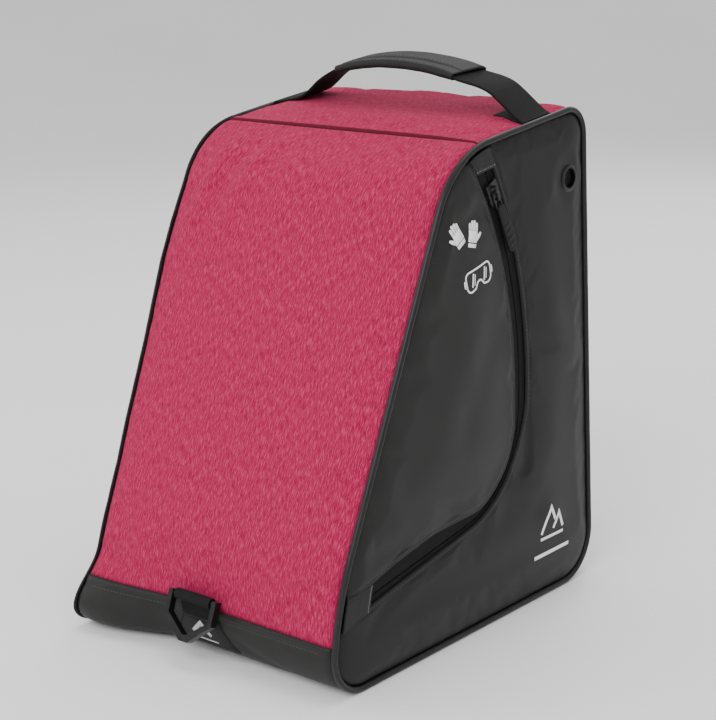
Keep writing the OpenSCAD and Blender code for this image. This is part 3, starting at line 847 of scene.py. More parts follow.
def door_foot_strips():
    """The cloth under the door's foot: the fold that the door turns on, and a still corner at each end."""
    low, high = (BAND_H - FOOT_Z) / math.cos(BACK_A) - 0.2, DOOR_FOOT + 1.2
    inner_x, outer_x = DOOR_HW - DOOR_EDGE - 0.2, DOOR_HW + DOOR_EDGE + 0.2
    for name, x0, x1 in (("door_fold_cloth", -inner_x, inner_x),
                         ("door_foot_corner_right", inner_x + 0.1, outer_x),
                         ("door_foot_corner_left", -outer_x, -inner_x - 0.1)):
        x, y = np.linspace(x0, x1, max(6, int((x1 - x0) / 3))), np.linspace(low, high, 12)
        xx, yy = np.meshgrid(x, y, indexing="ij")
        t = (yy - low) / (high - low)
        bow = 0.35 + 0.5 * np.sin(math.pi * t) + 0.12 * noise(xx, yy, 26, 65)
        obj = slab(name, on_back(xx, yy, -bow), on_back(xx, yy, 1.9), np.stack([xx, yy], -1))
        if x0 * x1 > 0:
            finish_piece(obj, "root", (TARP, TARP))
            continue
        obj.data.materials.append(TARP)
        obj.data.materials.append(TARP)
        start, end = (on_back(0.0, at, 0.0) * MM for at in (low + 1.5, high - 1.5))
        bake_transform(obj)


door_foot_strips()


def door_lining_piece():
    n, nv = 60, 80
    x, top = door_columns(DOOR_TAPE + 0.3, DOOR_FOOT + 1, n)
    v = np.linspace(0, 1, nv)
    xx = np.repeat(x[:, None], nv, 1)
    yy = DOOR_FOOT + 1 + (top[:, None] - DOOR_FOOT - 1) * v[None]
    edge = door_distance(xx, yy, DOOR_TAPE)
    swell = 2.6 + 0.8 * seam_ease(edge, 16) + 0.25 * noise(xx, yy, 40, 81)
    outer = on_back(xx, yy, DOOR_SKIN + 0.02 + 0 * xx)
    inner = on_back(xx, yy, DOOR_SKIN + np.minimum(3.45, swell))
    obj = slab("door_padded_lining", outer, inner, np.stack([xx, yy], -1))
    return finish_piece(obj, "door", (LINING, LINING), ("door_lining",))


door_lining_piece()


def tape_strip(name, line_a, line_b, place, thick):
    """A zip tape between two lines, as a thin slab. place(flat, depth) gives its points."""
    n, nv = len(line_a), 7
    t = np.linspace(0, 1, nv)
    flat = line_a[:, None] * (1 - t[None, :, None]) + line_b[:, None] * t[None, :, None]
    at = lengths(line_a)
    uv = np.stack([np.repeat(at[:, None], nv, 1), np.repeat(t[None] * 16, n, 0)], -1)
    return slab(name, place(flat, 0.0), place(flat, thick), uv)


def door_tapes():
    foot = DOOR_FOOT + 1

    def behind_skin(flat, t):
        return on_back(flat[..., 0], flat[..., 1], DOOR_SKIN + 0.02 + t * 0.9)

    for word, body, inwards, node in (("frame", "root", -1, "main_zip_tape"),
                                      ("door", "door", 1, "door_zip_tape")):
        a, b = (resample(door_line(inwards * d, foot), 300) for d in (SLIT / 2, DOOR_TAPE))
        tape = tape_strip(f"main_zip_tape_{word}_side", a, b, behind_skin, 1.0)
        finish_piece(tape, body, (TAPE, TAPE), (node,))


door_tapes()


def coil_teeth(points, tangents, insides, outs, pitch=1.35, width=2.6, height=1.3, thick=0.95):
    """One half of a zip coil: a row of rounded loops, each a small bent bar across the tape's edge."""
    at = lengths(points)
    n = int(at[-1] / pitch)
    s = (np.arange(n) + 0.5) * pitch
    p, t, w, o = (np.column_stack([np.interp(s, at, q[:, k]) for k in range(3)])
                  for q in (points, tangents, insides, outs))
    profile = [(-0.1, 0.18, 0.55), (0.14, 0.62, 0.9), (0.45, 0.95, 1.0), (0.75, 0.80, 0.95), (1.0, 0.25, 0.6)]
    ring = np.radians(np.arange(0, 360, 60))
    verts = []
    for k, (across, up, girth) in enumerate(profile):
        for q in ring:
            above = up * height * 0.55 + math.sin(q) * girth * height * 0.32
            verts.append(p + w * across * width + o * above + t * math.cos(q) * girth * thick * 0.5)
    verts = np.stack(verts, 1)
    m = len(profile) * len(ring)
    faces = [[i + k * m for i in f] for k in range(n) for f in tube_faces(len(profile), len(ring))]
    return verts.reshape(-1, 3), faces


def line_frames(points, out):
    """Tangents, inward sides and outward directions along a line on a face that looks out."""
    t = np.gradient(points, axis=0)
    t /= np.linalg.norm(t, axis=1)[:, None]
    o = np.repeat(np.asarray(out, float)[None], len(points), 0)
    return t, np.cross(o, t), o


BACK_OUT = np.array([0, math.cos(BACK_A), math.sin(BACK_A)])


def door_coils():
    for word, body, side, node, foot in (("frame", "root", 1, "main_zip_coil", DOOR_FOOT + 6.2),
                                         ("door", "door", -1, "door_zip_coil", DOOR_FOOT + 2)):
        flat = resample(door_line(-side * SLIT / 2, foot), 420)
        points = on_back(flat[:, 0], flat[:, 1], DOOR_SKIN + 0 * flat[:, 0])
        t, w, o = line_frames(points, BACK_OUT)
        obj = make(f"main_zip_teeth_{word}_side", *coil_teeth(points, t, w * side, o))
        finish_piece(obj, body, COIL, (node,))


door_coils()

# ------------------------------------------------ the sides: pocket, side panel, zip, tabs, piping

TRACK_C1 = np.array([TRACK_Y - TRACK_R, TRACK_Z])
TRACK_C2 = np.array([TRACK_Y - BEND_R, TRACK_Z])
BOTTOM_RUN = 180.0
TOP_RUN = 40.0


def track(d=0.0, step=1.5):
    """The pocket zip's line in (y, z), from the top down, moved away from the pocket by d.

    d is a number, or a list of shares of the line with a list of the distances there."""
    a = math.radians(TRACK_TOP)
    start = TRACK_C1 + TRACK_R * np.array([math.cos(a), math.sin(a)])
    up = np.array([-math.sin(a), math.cos(a)])
    b = math.radians(-TRACK_TURN)
    end = TRACK_C2 + BEND_R * np.array([math.cos(b), math.sin(b)])
    down = np.array([math.sin(b), -math.cos(b)])
    line = np.vstack([[start + TOP_RUN * up], arc(TRACK_C1, TRACK_R, TRACK_TOP, 0, step),
                      arc(TRACK_C2, BEND_R, 0, -TRACK_TURN, step)[1:], [end + BOTTOM_RUN * down]])
    n = int(lengths(line)[-1] / step)
    line = resample(line, n)
    t = np.gradient(line, axis=0)
    t /= np.linalg.norm(t, axis=1)[:, None]
    out = np.column_stack([-t[:, 1], t[:, 0]])
    if not np.isscalar(d):
        at = np.linspace(0, 1, n)
        d = np.interp(at, d[0], d[1])[:, None]
    return line + out * d


TRACK_LINE = track()
TRACK_LENGTH = lengths(TRACK_LINE)[-1]


def track_share(angle=None, bend=None, low=None):
    """The share of the zip line up to an angle of its long curve or its bend, or a distance below them."""
    s = TOP_RUN
    if angle is not None:
        return (s + math.radians(TRACK_TOP - angle) * TRACK_R) / TRACK_LENGTH
    s += math.radians(TRACK_TOP) * TRACK_R
    if bend is not None:
        return (s + math.radians(-bend) * BEND_R) / TRACK_LENGTH
    return (s + math.radians(TRACK_TURN) * BEND_R + low) / TRACK_LENGTH


ZIP_GAP = [  # the share of the zip line, and how far from it the pocket's and the side's cloth end there
    (0, 11.5, 8), (track_share(angle=31), 11.2, 8), (track_share(angle=27), 9.6, 7.8),
    (track_share(angle=20), 8.6, 7.7), (track_share(angle=8), 7.8, 7.6), (track_share(angle=0), 7.6, 7.6),
    (track_share(bend=-14), 5.4, 5.2), (track_share(bend=-32), 3.4, 3.0), (track_share(bend=-66), 4.2, 3.0),
    (track_share(low=10), 8.8, 3.2), (track_share(low=42), 12.6, 4.0), (track_share(low=88), 11.6, 4.8),
    (track_share(low=116), 8.8, 5.6), (1, 8.8, 5.6)]
LIP_AT, POCKET_LIP, SIDE_LIP = zip(*ZIP_GAP)


def inside_outline(points, inset):
    poly = closed(outline(inset))
    a, b = poly[:-1], poly[1:]
    p = np.asarray(points, float).reshape(-1, 1, 2)
    cut = (a[:, 1] > p[..., 1]) != (b[:, 1] > p[..., 1])
    rise = np.where(b[:, 1] == a[:, 1], 1e-9, b[:, 1] - a[:, 1])
    y = a[:, 0] + (p[..., 1] - a[:, 1]) / rise * (b[:, 0] - a[:, 0])
    return (np.count_nonzero(cut & (p[..., 0] < y), axis=1) % 2 == 1).reshape(np.asarray(points).shape[:-1])


def clipped(line, inset):
    """The stretch of a line that lies inside the side outline moved inwards."""
    line = resample(line, 1500)
    keep = np.nonzero(inside_outline(line, inset))[0]
    return line[keep[0]:keep[-1] + 1]


SIDE_RIM = closed(outline(SIDE_INSET))
SIDE_RIM_S = lengths(SIDE_RIM)
SIDE_RIM_LENGTH = SIDE_RIM_S[-1]


def rim_near(point):
    return SIDE_RIM_S[np.argmin(np.linalg.norm(SIDE_RIM - point, axis=1))]


def ruled(lip, keys, n, nv):
    """A grid of rulings from a lip line to the side's rim. keys pair shares of the lip with rim distances."""
    share = np.linspace(0, 1, n)
    s = np.interp(share, keys[0], keys[1]) % SIDE_RIM_LENGTH
    a = along(lip, share * lengths(lip)[-1])
    b = np.column_stack([np.interp(s, SIDE_RIM_S, SIDE_RIM[:, k]) for k in (0, 1)])
    v = (1 - np.cos(np.linspace(0, math.pi, nv))) / 2
    v = 0.75 * v + 0.25 * np.linspace(0, 1, nv)
    return a[:, None] * (1 - v[None, :, None]) + b[:, None] * v[None, :, None]


def rim_height(d, mid):
    """The x of a side's cloth, d in from its rim: it rises steeply, then crowns towards the middle."""
    shoulder = 0.6 + 5.1 * np.sqrt(np.clip(1 - (1 - np.clip(d / 15.0, 0, 1)) ** 2, 0, 1))
    return WALL_X + shoulder + mid * smooth((d - 8) / 70)


def fold_lip(x, from_lip, floor=TAPE_OUT + 0.35, radius=1.3):
    """Rolls the cloth's edge down on to the zip tape."""
    t = np.clip(1 - from_lip / radius, 0, 1)
    return floor + (x - floor) * np.sqrt(np.clip(1 - t * t, 0, 1))


def pocket_x(y, z, from_lip):
    rim = distance_to(np.stack([y, z], -1), RIM)
    mid = 4.0 * smooth(from_lip / 60)
    x = rim_height(rim - SIDE_INSET + 0.4, mid)
    folds = ridges(y, z, ((-40, 330), (-85, 225), 15, 0.9), ((20, 250), (-30, 150), 17, -0.9),
                   ((-130, 120), (-40, 96), 12, 1.0), ((-10, 352), (30, 300), 10, 0.6),
                   ((-120, 165), (-90, 100), 13, 0.7))
    waves = 0.55 * noise(y, z, 60, 91) + 0.2 * noise(y, z, 20, 95)
    lip_roll = 0.25 * np.exp(-((from_lip - 6) / 5) ** 2) * (1 + 0.5 * noise(y, z, 26, 97))
    free = seam_ease(rim - SIDE_INSET, 16) * seam_ease(from_lip, 8)
    stitched = -0.3 * np.exp(-((from_lip - STITCH_IN) / 0.6) ** 2)
    return fold_lip(x + free * (folds + waves) + lip_roll + stitched, from_lip)


VENT = (111.0, 336.0)
VENT_R = 9.4
VENT_BORE = 7.5


def side_x(y, z, from_lip):
    rim = distance_to(np.stack([y, z], -1), RIM)
    x = rim_height(rim - SIDE_INSET + 0.4, 2.6 * smooth(from_lip / 45))
    folds = ridges(y, z, ((-125, 36), (120, 34), 9, 1.3), ((20, 92), (90, 78), 13, -1.6),
                   ((40, 110), (118, 62), 9, 0.9), ((80, 250), (128, 190), 14, 0.8),
                   ((70, 150), (140, 110), 13, 0.7), ((-100, 58), (-20, 76), 8, 0.7))
    low_down = 1 - 0.7 * smooth((z - 110) / 90)
    waves = low_down * (0.4 * noise(y, z, 64, 101) + 0.1 * noise(y, z, 22, 105))
    free = seam_ease(rim - SIDE_INSET, 16) * seam_ease(from_lip, 8)
    stitched = -0.3 * np.exp(-((from_lip - STITCH_IN) / 0.6) ** 2)
    x = x + free * (folds + waves) + stitched
    vent = np.hypot(y - VENT[0], z - VENT[1])
    flat = smooth((vent - 12) / 14)
    return fold_lip(SIDE_LEVEL * (1 - flat) + x * flat, from_lip)


def room_for_pull(flat, x):
    """The cloth gives way where the pocket's pull tab lies at the low end of its run."""
    pull_line = np.array([[TRACK_Y, TRACK_Z + 6], [TRACK_Y - 2, TRACK_Z - 44]])
    return np.minimum(x, SIDE_LEVEL - 0.5 + 9 * smooth((distance_to(flat, pull_line) - 7) / 26))


def side_slab(name, flat, x, side):
    """Closes a side panel's outer face with an inner face that clears the zip tape."""
    outer = np.stack([x, flat[..., 0], flat[..., 1]], -1)
    zip_d = distance_to(flat, TRACK_LINE)
    under = np.where(zip_d < 17.5, TAPE_OUT + 0.12, WALL_X + 0.15)
    inner = np.stack([np.minimum(under, x - 0.15), flat[..., 0], flat[..., 1]], -1)
    for face in (outer, inner):
        face[..., 0] *= side
    return slab(name, outer, inner, flat)


def cut_round_hole(obj, x, y, z, r):
    """Cuts a round hole through a panel along X."""
    bm = bmesh.new()
    turn = Matrix.Translation(Vector((x, y, z)) * MM) @ Matrix.Rotation(math.pi / 2, 4, "Y")
    bmesh.ops.create_cone(bm, cap_ends=True, segments=48, radius1=r * MM, radius2=r * MM, depth=0.03,
                          matrix=turn)
    mesh = bpy.data.meshes.new("hole")
    bm.to_mesh(mesh)
    bm.free()
    tool = bpy.data.objects.new("hole", mesh)
    bpy.context.scene.collection.objects.link(tool)
    cut = obj.modifiers.new("hole", "BOOLEAN")
    cut.object = tool
    cut.solver = "EXACT"
    made = bpy.data.meshes.new_from_object(obj.evaluated_get(bpy.context.evaluated_depsgraph_get()))
    obj.modifiers.remove(cut)
    obj.data = made
    bpy.data.objects.remove(tool)


def side_panels():
    pocket_lip = clipped(track((LIP_AT, [-d for d in POCKET_LIP])), SIDE_INSET + 1)
    side_lip = clipped(track((LIP_AT, SIDE_LIP)), SIDE_INSET + 1)
    top, foot = rim_near(pocket_lip[0]), rim_near(pocket_lip[-1])
    shoulder = rim_near(np.array(SHOULDER) + (-6, -2))
    pocket = ruled(pocket_lip, ([0, 0.26, 1], [top, shoulder, foot]), 190, 62)
    top, foot = rim_near(side_lip[0]), rim_near(side_lip[-1])
    corner = rim_near((BASE_D / 2 - BACK_LEAN - 4, BACK_H - 4))
    heel = rim_near((BASE_D / 2 - 11, 13))
    toe = SIDE_RIM_LENGTH + rim_near((-BASE_D / 2 + 8, 12))
    toe = toe if toe > heel else toe + SIDE_RIM_LENGTH
    ends = [top, corner, heel, toe, foot + SIDE_RIM_LENGTH]
    side_grid = ruled(side_lip, ([0, 0.22, 0.62, 0.95, 1], ends), 260, 60)
    made = {}
    # The pocket panels take the paler tarpaulin, which is painted light; the side panels take the plain one.
    for name, grid, shape, face, spare in (("pocket", pocket, pocket_x, TARP_POCKET_PAINTED_LIGHT, 0.0035),
                                           ("side", side_grid, side_x, TARP, 0.0014)):
        from_lip = distance_to(grid, grid[:, 0])
        x = shape(grid[..., 0], grid[..., 1], from_lip)
        settled = settle_grid(np.stack([x, grid[..., 0], grid[..., 1]], -1), 1.2, spare, 1.2)
        x = np.where(from_lip < 5, x, settled[..., 0])
        if name == "side":
            x = room_for_pull(grid, x)
        for word, side in SIDES:
            made[name, side] = side_slab(f"{name}_cloth_{word}", grid, x, side)
            if name == "side":
                cut_round_hole(made[name, side], side * SIDE_LEVEL, *VENT, VENT_R)
            node = f"{name}_panel_{word}"
            finish_piece(made[name, side], "root", (face, LINING), (node,))
    return made


SIDE_PIECES = side_panels()


def pocket_zips():
    """Tape and teeth of both pocket zips. The teeth are inside; outside, the tape shows a fine slit."""
    for word, side in SIDES:
        strips, teeth = [], []
        for s in (-1, 1):
            a = resample(clipped(track(s * SLIT / 2), SIDE_INSET + 0.4), 260)
            b = resample(clipped(track(s * 15.8), SIDE_INSET + 0.4), 260)
            t = np.linspace(0, 1, 9)
            flat = a[:, None] * (1 - t[None, :, None]) + b[:, None] * t[None, :, None]
            bead = 0.25 * np.exp(-((t * 15 - 0.7) / 0.7) ** 2) - 0.1 * np.exp(-((t * 15 - 2.6) / 0.8) ** 2)
            faces_x = ((TAPE_OUT - 0.28 + bead[None]) + 0 * flat[..., 0], TAPE_OUT - 0.9 + 0 * flat[..., 0])
            outer, inner = (np.stack([side * x, flat[..., 0], flat[..., 1]], -1) for x in faces_x)
            strips.append((outer, inner, np.stack([np.repeat(lengths(a)[:, None], 9, 1),
                                                   np.repeat(t[None] * 15, 260, 0)], -1)))
            line = clipped(track(s * SLIT / 2), 17)
            points = np.column_stack([np.full(len(line), side * (TAPE_OUT - 1.0)), line])
            tangent, width, out = line_frames(points, (-side, 0, 0))
            if np.dot(width[len(width) // 2, 1:], (track(s * 3.0)[200] - track(0.0)[200])) < 0:
                width = -width
            teeth.append(coil_teeth(points, tangent, width, out, height=2.0, width=2.8))
        parts = [slab(f"strip{k}", *strip) for k, strip in enumerate(strips)]
        tape = merged(f"pocket_zip_tape_cloth_{word}", parts)
        finish_piece(tape, "root", (TAPE, TAPE), (f"pocket_zip_tape_{word}",))
        coil = joined(f"pocket_zip_teeth_{word}", teeth)
        finish_piece(coil, "root", COIL, (f"pocket_zip_coil_{word}",))


def merged(name, objects):
    """Several mesh objects as one new object, with their cloth places kept."""
    bm = bmesh.new()
    for o in objects:
        bm.from_mesh(o.data)
        bpy.data.objects.remove(o)
    mesh = bpy.data.meshes.new(name)
    bm.to_mesh(mesh)
    bm.free()
    obj = bpy.data.objects.new(name, mesh)
    bpy.context.scene.collection.objects.link(obj)
    return obj


pocket_zips()


def piping_path(inset=PIPING_INSET):
    return resample(closed(outline(inset)), 620)[:-1]


def piping():
    """The cord in each side seam, as a round tube; the flat edges of its sewn cover go down into the seam and
    are not made.
    """
    path = piping_path()
    d = np.roll(path, -1, 0) - np.roll(path, 1, 0)
    d /= np.linalg.norm(d, axis=1)[:, None]
    out = np.column_stack([np.zeros(len(d)), -d[:, 1], d[:, 0]])
    for word, side in SIDES:
        sideways = np.repeat(np.array([[side, 0.0, 0.0]]), len(path), 0)
        points = np.column_stack([np.full(len(path), side * SEAM_X), path])
        at = lengths(points)
        swell = 1 + 0.03 * noise(at, 0 * at, 9, 111 + side) - 0.02
        section = [(math.cos(q), math.sin(q)) for q in np.radians(np.arange(0, 360, 24))]
        verts = np.array([p + PIPING_R * w * (c * a + s * b)
                          for p, w, a, b in zip(points, swell, sideways, out) for c, s in section])
        n, m = len(points), len(section)
        faces = grid_faces(n, m, wrap_u=True, wrap_v=True)
        uv = np.array([[at[i], 15.7 * j / m] for i in range(n) for j in range(m)])
        obj = make(f"piping_cord_{word}", verts, faces, uv=uv)
        finish_piece(obj, "root", PIPE, (f"piping_{word}",))


piping()


def side_linings():
    """The grey lining that hangs inside each side, with a hole for the vent."""
    rim = resample(closed(outline(SKIN + 0.6)), 181)[:-1]
    centre = np.array([0.0, 180.0])
    t = np.linspace(1, 0, 26)[:-1]
    flat = centre + (rim[:, None] - centre) * t[None, :, None]
    drape = 0.5 * noise(flat[..., 0], flat[..., 1], 55, 121)
    for word, side in SIDES:
        x = LINING_X + drape * seam_ease((1 - t)[None] * 150, 30)
        verts, faces = [], []
        for k, off in enumerate((0.45, -0.45)):
            grid = np.stack([side * (x + off), flat[..., 0], flat[..., 1]], -1).reshape(-1, 3)
            verts += [grid, [(side * (LINING_X + off), *centre)]]
            base = k * (len(grid) + 1)
            quads = grid_faces(len(rim), len(t), wrap_u=True, offset=base).tolist()
            fan = [[base + i * len(t) + len(t) - 1, base + ((i + 1) % len(rim)) * len(t) + len(t) - 1,
                    base + len(grid)] for i in range(len(rim))]
            faces += quads + fan
        size = len(rim) * len(t) + 1
        faces += [[i * len(t), ((i + 1) % len(rim)) * len(t), size + ((i + 1) % len(rim)) * len(t),
                   size + i * len(t)] for i in range(len(rim))]
        verts = np.vstack(verts)
        obj = make(f"side_lining_cloth_{word}", verts, faces, uv=verts[:, 1:])
        cut_round_hole(obj, side * LINING_X, *VENT, VENT_BORE)
        finish_piece(obj, "root", LINING, (f"side_lining_{word}",))


side_linings()

# ------------------------------------------------ zip tabs: the folded cloth at a pocket zip's ends


def zip_tab(name, side, node, s0, s1, half0, half1, stitches_on, skew=0.0):
    """A folded cloth tab over a zip's end, between two distances along the zip, with stitched edges."""
    n, nv = 34, 26
    t = np.linspace(-1, 1, nv)
    columns = []
    for v in t:
        end = s1 + skew * v
        s = np.linspace(s0, end, 160)
        d = along(TRACK_LINE, np.minimum(s + 1, TRACK_LENGTH)) - along(TRACK_LINE, np.maximum(s - 1, 0))
        d /= np.linalg.norm(d, axis=1)[:, None]
        half = half0 + (half1 - half0) * np.linspace(0, 1, 160)
        line = along(TRACK_LINE, s) + np.column_stack([-d[:, 1], d[:, 0]]) * (half * v)[:, None]
        inside = np.nonzero(inside_outline(line, SIDE_INSET + 0.6))[0]
        columns.append(resample(line[inside[0]:], n))
    flat = np.stack(columns, 1)
    half = (half0 + half1) / 2
    to_end = np.linalg.norm(flat - flat[-1:], axis=2)
    edge = np.minimum(half * (1 - np.abs(t))[None], to_end)
    rise = 2.4 * np.sqrt(np.clip(1 - (1 - np.clip(edge / 1.6, 0, 1)) ** 2, 0, 1))
    dent = 0.35 * np.exp(-((edge - 2.6) / 0.7) ** 2)
    rise = rise - dent + 0.2 * noise(flat[..., 0], flat[..., 1], 9, 131) * (edge > 1.5)
    x = TAPE_OUT + 0.1 + rise
    outer = np.stack([side * x, flat[..., 0], flat[..., 1]], -1)
    inner = np.stack([side * (TAPE_OUT + 0.05) + 0 * x, flat[..., 0], flat[..., 1]], -1)
    obj = slab(name, outer, inner, flat)
    finish_piece(obj, "root", (TARP, TARP), (node,))
    threads = []
    for v in np.linspace(-0.82, 0.82, stitches_on):
        j = int(np.argmin(np.abs(t - v)))
        i = int(np.argmin(np.abs(to_end[:, j] - 2.6)))
        threads.append((outer[i, j], (side, 0, 0), outer[i, min(j + 1, nv - 1)] - outer[i, j - 1]))
    thread = joined(f"{name}_thread", stitch_parts(*zip(*threads), length=1.9, width=0.4, height=0.4))
    finish_piece(thread, "root", PALE_THREAD)


def zip_tabs():
    inside = lengths(TRACK_LINE)[inside_outline(TRACK_LINE, SIDE_INSET + 1.5)]
    top_end, low_end = inside[0], inside[-1]
    for word, side in SIDES:
        zip_tab(f"zip_end_tab_top_{word}", side, f"zip_tab_top_{word}", max(0, top_end - 25),
                track_share(angle=31) * TRACK_LENGTH, 13.5, 11.5, 9, 4.5)
        zip_tab(f"zip_end_tab_bottom_{word}", side, f"zip_tab_bottom_{word}", min(TRACK_LENGTH, low_end + 25),
                low_end - 27, 13.6, 9.6, 12, 4.0)


zip_tabs()

# ------------------------------------------------ seam threads on the panels


def surface_of(obj):
    bm = bmesh.new()
    bm.from_mesh(obj.data)
    tree = BVHTree.FromBMesh(bm)
    bm.free()
    return tree


def thread_row(name, tree, line3, direction, material, gap=3.4, body="root", length=2.4):
    """Stitches along a 3-D line (mm), dropped on to a surface along a direction."""
    at = lengths(line3)
    places = along(line3, np.arange(gap, at[-1] - gap, gap))
    d = Vector(direction)
    rows = []
    for k, p in enumerate(places):
        hit, normal, _, _ = tree.ray_cast(Vector(p * MM) - d * 0.02, d, 0.05)
        if hit is None:
            continue
        if normal.dot(d) > 0:
            normal = -normal
        step = places[min(k + 1, len(places) - 1)] - places[max(k - 1, 0)]
        rows.append((np.array(hit) / MM + np.array(normal) * 0.02, np.array(normal), step))
    obj = joined(name, stitch_parts(*zip(*rows), length=length, width=0.36, height=0.36))
    return finish_piece(obj, body, material)


def panel_threads():
    for word, side in SIDES:
        for name, gap in (("pocket", [-d - STITCH_IN for d in POCKET_LIP]),
                          ("side", [d + STITCH_IN for d in SIDE_LIP])):
            line = clipped(track((LIP_AT, gap)), SIDE_INSET + 8)
            line = np.column_stack([np.full(len(line), side * 131.0), line])
            tree = surface_of(SIDE_PIECES[name, side])
            thread_row(f"{name}_lip_thread_{word}", tree, line, (-side, 0, 0), THREAD)
    back = tuple(-BACK_OUT)
    flat = door_line(-(DOOR_LIP + 0.2), DOOR_FOOT + 6)
    line = on_back(flat[:, 0], flat[:, 1], -4.0 + 0 * flat[:, 0])
    thread_row("back_lip_thread", surface_of(back_frame), line, back, THREAD)
    flat = door_line(DOOR_LIP + 0.2, DOOR_FOOT + 6)
    line = on_back(flat[:, 0], flat[:, 1], -4.0 + 0 * flat[:, 0])
    thread_row("door_lip_thread", surface_of(door_panel), line, back, THREAD, body="door")
    x = np.linspace(-WALL_X + 8, WALL_X - 8, 200)
    for name, piece, s in (("front_band_thread", front_band, S_BAND - 6.0), ("back_band_thread", back_band,
                                                                             S_BACK_LOW + 6.0)):
        p, n = rim_at(np.array([s]))
        line = np.column_stack([x, np.full(200, p[0, 0]), np.full(200, p[0, 1])])
        thread_row(name, surface_of(piece), line, (0, *(-n[0])), THREAD)


panel_threads()

# ------------------------------------------------ handle

TOP_A = math.atan2(BACK_H - SHOULDER[1], BASE_D / 2 - BACK_LEAN - SHOULDER[0])
HANDLE_Z = SHOULDER[1] + (HANDLE_Y - SHOULDER[0]) * math.tan(TOP_A)
GRIP_R, GRIP_X, GRIP_RISE, GRIP_A = 235.0, 4.0, 39.0, 14.2
FOOT_RIGHT, FOOT_LEFT = 105.0, -82.0
GRIP_C = np.array([GRIP_X, GRIP_RISE - GRIP_R])


def on_top(points):
    """Places points given across the bag, back along the top, and up from the top."""
    x, y, z = np.asarray(points, float).T
    c, s = math.cos(TOP_A), math.sin(TOP_A)
    return np.column_stack([x, HANDLE_Y + y * c - z * s, HANDLE_Z + y * s + z * c])


def curve_through(points, step=1.5, rounds=3):
    """A smooth line through given corners: each corner is cut a few times, then it is resampled."""
    p = np.asarray(points, float)
    for _ in range(rounds):
        q = 0.75 * p[:-1] + 0.25 * p[1:]
        r = 0.25 * p[:-1] + 0.75 * p[1:]
        mid = np.stack([q, r], 1).reshape(-1, p.shape[1])
        p = np.vstack([p[:1], mid[1:-1], p[-1:]])
    return resample(p, max(8, int(lengths(p)[-1] / step)))


def band_frames(path):
    """For a band whose line is in the x-z plane: its width direction and its normal at each point."""
    d = np.gradient(path, axis=0)
    d /= np.linalg.norm(d, axis=1)[:, None]
    return [(np.array([0, 1.0, 0]), np.array([-q[1], 0, q[0]])) for q in d]


def strap(name, line, width=WEBBING_W, thick=WEBBING_T, sag=0.0):
    """A flat webbing strap along a line in the handle's x-z plane, with soft edges and a slight cup."""
    frames = band_frames(line)
    section = box_section(width, thick, 0.9)
    rows, at = [], lengths(line)
    for p, (a, b) in zip(line, frames):
        for u, v in section:
            cup = sag * (u / (width / 2)) ** 2
            rows.append(np.array([p[0], 0, p[1]]) + a * u + b * (v + cup))
    n, m = len(line), len(section)
    around = np.array([u for u, _ in section])
    uv = np.array([[at[i], around[j]] for i in range(n) for j in range(m)])
    return make(name, on_top(rows), tube_faces(n, m), uv=uv)


def grip_line(a0, a1, step=2.0):
    return arc(GRIP_C, GRIP_R, 90 + a0, 90 - a1, step)


def handle():
    grip_left, grip_right = grip_line(GRIP_A, -GRIP_A)[0], grip_line(-GRIP_A, GRIP_A)[-1]
    right = curve_through([(SEAM_X - 2.4, 0.8), (118, 3.2), (110, 9.8), (FOOT_RIGHT - 2, 15.8), (90, 25.6),
                           (grip_right[0] + 3, grip_right[1] - 1.6), grip_right - (2, -0.3)])
    right = np.vstack([right, grip_right - (14, -4.0)])
    left = curve_through([(-SEAM_X + 2.4, 1.0), (-108, 3.6), (-94, 6.6), (FOOT_LEFT - 3, 11.6), (-72, 22.4),
                          (grip_left[0] - 3, grip_left[1] - 1.8), grip_left + (2, 0.3)])
    left = np.vstack([left, grip_left + (14, 4.0)])
    for word, line, foot, out in (("right", right, FOOT_RIGHT, 1), ("left", left, FOOT_LEFT, -1)):
        obj = strap(f"handle_strap_{word}", resample(line, 90), sag=0.25)
        replaced = (f"handle_anchor_{word}",) + (("handle_webbing",) if out > 0 else ())
        obj.data.materials.append(WEBBING)
        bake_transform(obj)
        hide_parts(*replaced)
    line = curve_through([(SEAM_X - 2.6, -0.2), (115, 1.4), (105, 3.8), (95, 4.6)])
    under = strap("handle_under_tab", line, width=WEBBING_W - 2, thick=1.8)
    finish_piece(under, "root", WEBBING)
    grip()


def sleeve_sections(width, height, wall, lap):
    """Outer and inner outlines of the folded grip: a flattened tube whose top edge laps over."""
    outer = resample(closed(np.array(box_section(width, height, height * 0.46, n=6))), 73)[:-1]
    on_lap = (outer[:, 1] > 0) & (outer[:, 0] > -width * lap) & (outer[:, 0] < width * 0.42)
    step = np.where(on_lap, 0.55, 0.0)
    lifted = outer + np.column_stack([0 * step, step])
    scale = np.array([(width - 2 * wall) / width, (height - 2 * wall) / height])
    inner = outer * scale
    return lifted, inner


